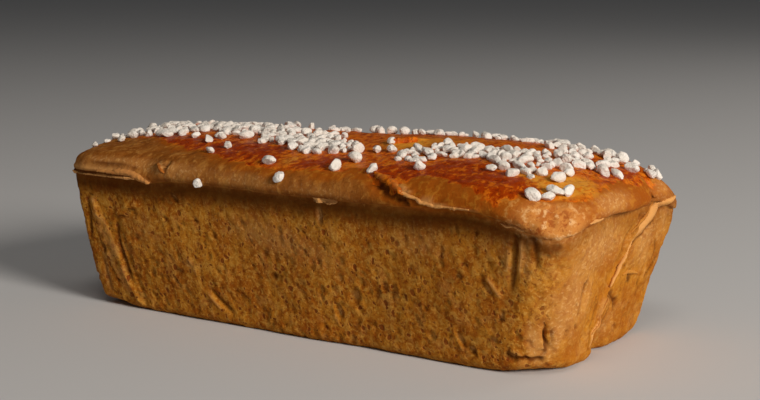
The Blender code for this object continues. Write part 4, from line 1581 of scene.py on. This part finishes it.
def sugar_nibs():
    """Every nib on the crown, largest first: x, y, length, and its own number."""
    draw = random.Random(PLACE_SEED)
    nibs = [(x, y, length, number) for number, (x, y, length) in enumerate(STRAY_NIBS)]
    for middle_x, middle_y, spread_x, spread_y, count in SUGAR_PATCHES:
        for _ in range(count):
            length = draw.uniform(*NIB_LENGTHS)
            for _ in range(NIB_TRIES):
                across = draw.gauss(0, 1)
                up = draw.gauss(0, 1)
                x = middle_x + across * spread_x
                y = middle_y + up * spread_y
                if math.hypot(across, up) < PATCH_REACH and fits(x, y, length, nibs):
                    nibs.append((x, y, length, len(nibs)))
                    break
    return sorted(nibs, key=lambda nib: -nib[2])


def surface_frame(u, v, w):
    """A point of the surface, and the turn that stands +Z along the outward direction there."""
    step = 0.004
    on_top = w > 1 - 1e-6
    across = (0, step) if on_top else (step, 0)
    points_u = np.array([u, u + step, u - step, u, u])
    points_v = np.array([v, v, v, v + across[1], v - across[1]])
    points_w = np.array([w, w, w, w + across[0], w - across[0]])
    points = np.column_stack(shaped(points_u, points_v, points_w)[:3])
    along = Vector(points[1] - points[2])
    up = Vector(points[3] - points[4])
    return Vector(points[0]), along.cross(up).to_track_quat("Z", "Y")


def pebble(directions, number):
    """A pressed lump of sugar one unit long: a ball cut by soft flats, the same for one number."""
    draw = np.random.default_rng(SHAPE_SEED + number)
    flats = draw.normal(size=(NIB_FLATS, 3))
    flats /= np.linalg.norm(flats, axis=1)[:, None]
    reach = draw.uniform(*NIB_CUTS, NIB_FLATS)
    pressed = np.maximum(directions @ flats.T, 0) / reach
    pressed = np.column_stack([pressed, np.full(len(directions), 1 / NIB_REACH)])
    radius = (pressed**NIB_SOFTNESS).sum(axis=1) ** (-1 / NIB_SOFTNESS)
    bulges = lumps(*(directions.T * NIB_BALL + 3 * number), *NIB_BULGES)
    grains = lumps(*(directions.T * NIB_BALL + number), *NIB_GRAINS)
    return directions * (radius * (1 + NIB_LUMPINESS * bulges + NIB_ROUGHNESS * grains))[:, None]


def sugar_mesh():
    """Every nib on the loaf as one mesh, each where its solid is."""
    ball = bmesh.new()
    bmesh.ops.create_icosphere(ball, subdivisions=NIB_DETAIL, radius=1)
    directions = np.array([vertex.co[:] for vertex in ball.verts])
    directions /= np.linalg.norm(directions, axis=1)[:, None]
    faces = np.array([[vertex.index for vertex in face.verts] for face in ball.faces])
    ball.free()
    seats = []
    for x, y, length, number in sugar_nibs():
        seats.append((*surface_frame(x / HALF_LENGTH, y / HALF_WIDTH, 1.0), length, number))
    across, up, length = CAUGHT_NIB
    seats.append((*surface_frame(across, -1.0, up), length, CAUGHT_NUMBER))
    corners = []
    for middle, turn, length, number in seats:
        draw = random.Random(SHAPE_SEED + number)
        spin = Matrix.Rotation(draw.uniform(0, 2 * math.pi), 3, "Z")
        lean = Matrix.Rotation(draw.uniform(-NIB_LEAN, NIB_LEAN), 3, "X")
        sizes = np.array([share * draw.uniform(*NIB_SHAPE_SPREAD) * length for share in NIB_SHAPE])
        lift = Vector((0, 0, sizes[2] * (0.5 - NIB_SINK)))
        turned = np.array(turn.to_matrix() @ spin @ lean)
        corners.append(pebble(directions, number) * sizes @ turned.T + np.array(middle + turn @ lift))
    corners = np.concatenate(corners) * MM
    shifts = np.arange(len(seats)) * len(directions)
    faces = (faces[None] + shifts[:, None, None]).reshape(-1, 3)
    data = bpy.data.meshes.new("pearl_sugar")
    data.from_pydata(corners.tolist(), [], faces.tolist())
    return data


def piece(name, data, finish):
    """A piece of the loaf, with its finish, that stands on its body."""
    made = bpy.data.objects.new(name, data)
    bpy.context.scene.collection.objects.link(made)
    data.materials.append(finish)
    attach(made, "root")
    return made


def studio():
    """A pale floor, a large soft lamp at the right, two weak ones, and a faint light from all round."""
    floor = bmesh.new()
    bmesh.ops.create_grid(floor, x_segments=1, y_segments=1, size=FLOOR_REACH)
    data = bpy.data.meshes.new("floor")
    floor.to_mesh(data)
    floor.free()
    ground = bpy.data.objects.new("floor", data)
    data.materials.append(painted_floor())
    bpy.context.scene.collection.objects.link(ground)
    for name, (place, size, power) in LAMPS.items():
        lamp = bpy.data.lights.new(name, "AREA")
        lamp.shape = "DISK"
        lamp.size = size
        lamp.energy = power
        lamp.color = linear(LAMP_COLOUR)[:3]
        hung = bpy.data.objects.new(name, lamp)
        hung.location = place
        hung.rotation_euler = (LAMP_TARGET - Vector(place)).to_track_quat("-Z", "Y").to_euler()
        bpy.context.scene.collection.objects.link(hung)
    world = bpy.data.worlds.new("studio")
    world.use_nodes = True
    sky = world.node_tree.nodes["Background"]
    sky.inputs["Color"].default_value = linear(SKY_COLOUR)
    sky.inputs["Strength"].default_value = SKY_STRENGTH
    bpy.context.scene.world = world
    bpy.context.scene.view_settings.view_transform = "Standard"


def camera():
    """The photograph's view: from the near right corner, a little above the crown."""
    lens = bpy.data.cameras.new("camera")
    lens.sensor_fit = "HORIZONTAL"
    lens.sensor_width = SENSOR_WIDTH
    lens.lens = FOCAL_LENGTH
    lens.clip_start = 0.01
    eye = bpy.data.objects.new("camera", lens)
    eye.location = CAMERA_PLACE * MM
    eye.rotation_euler = (CAMERA_TARGET * MM - eye.location).to_track_quat("-Z", "Y").to_euler()
    bpy.context.scene.collection.objects.link(eye)
    bpy.context.scene.camera = eye


def main():
    finish = brioche_crust()
    crust = piece("baked_crust", crust_mesh(), finish)
    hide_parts("brioche_loaf")
    edges = piece("torn_edges", edges_mesh(crust.data), finish)
    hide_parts("brioche_loaf")
    crust.data.shade_smooth()
    edges.data.shade_smooth()
    sugar = piece("pearl_sugar", sugar_mesh(), pearl_sugar())
    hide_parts("brioche_loaf")
    studio()
    camera()


main()
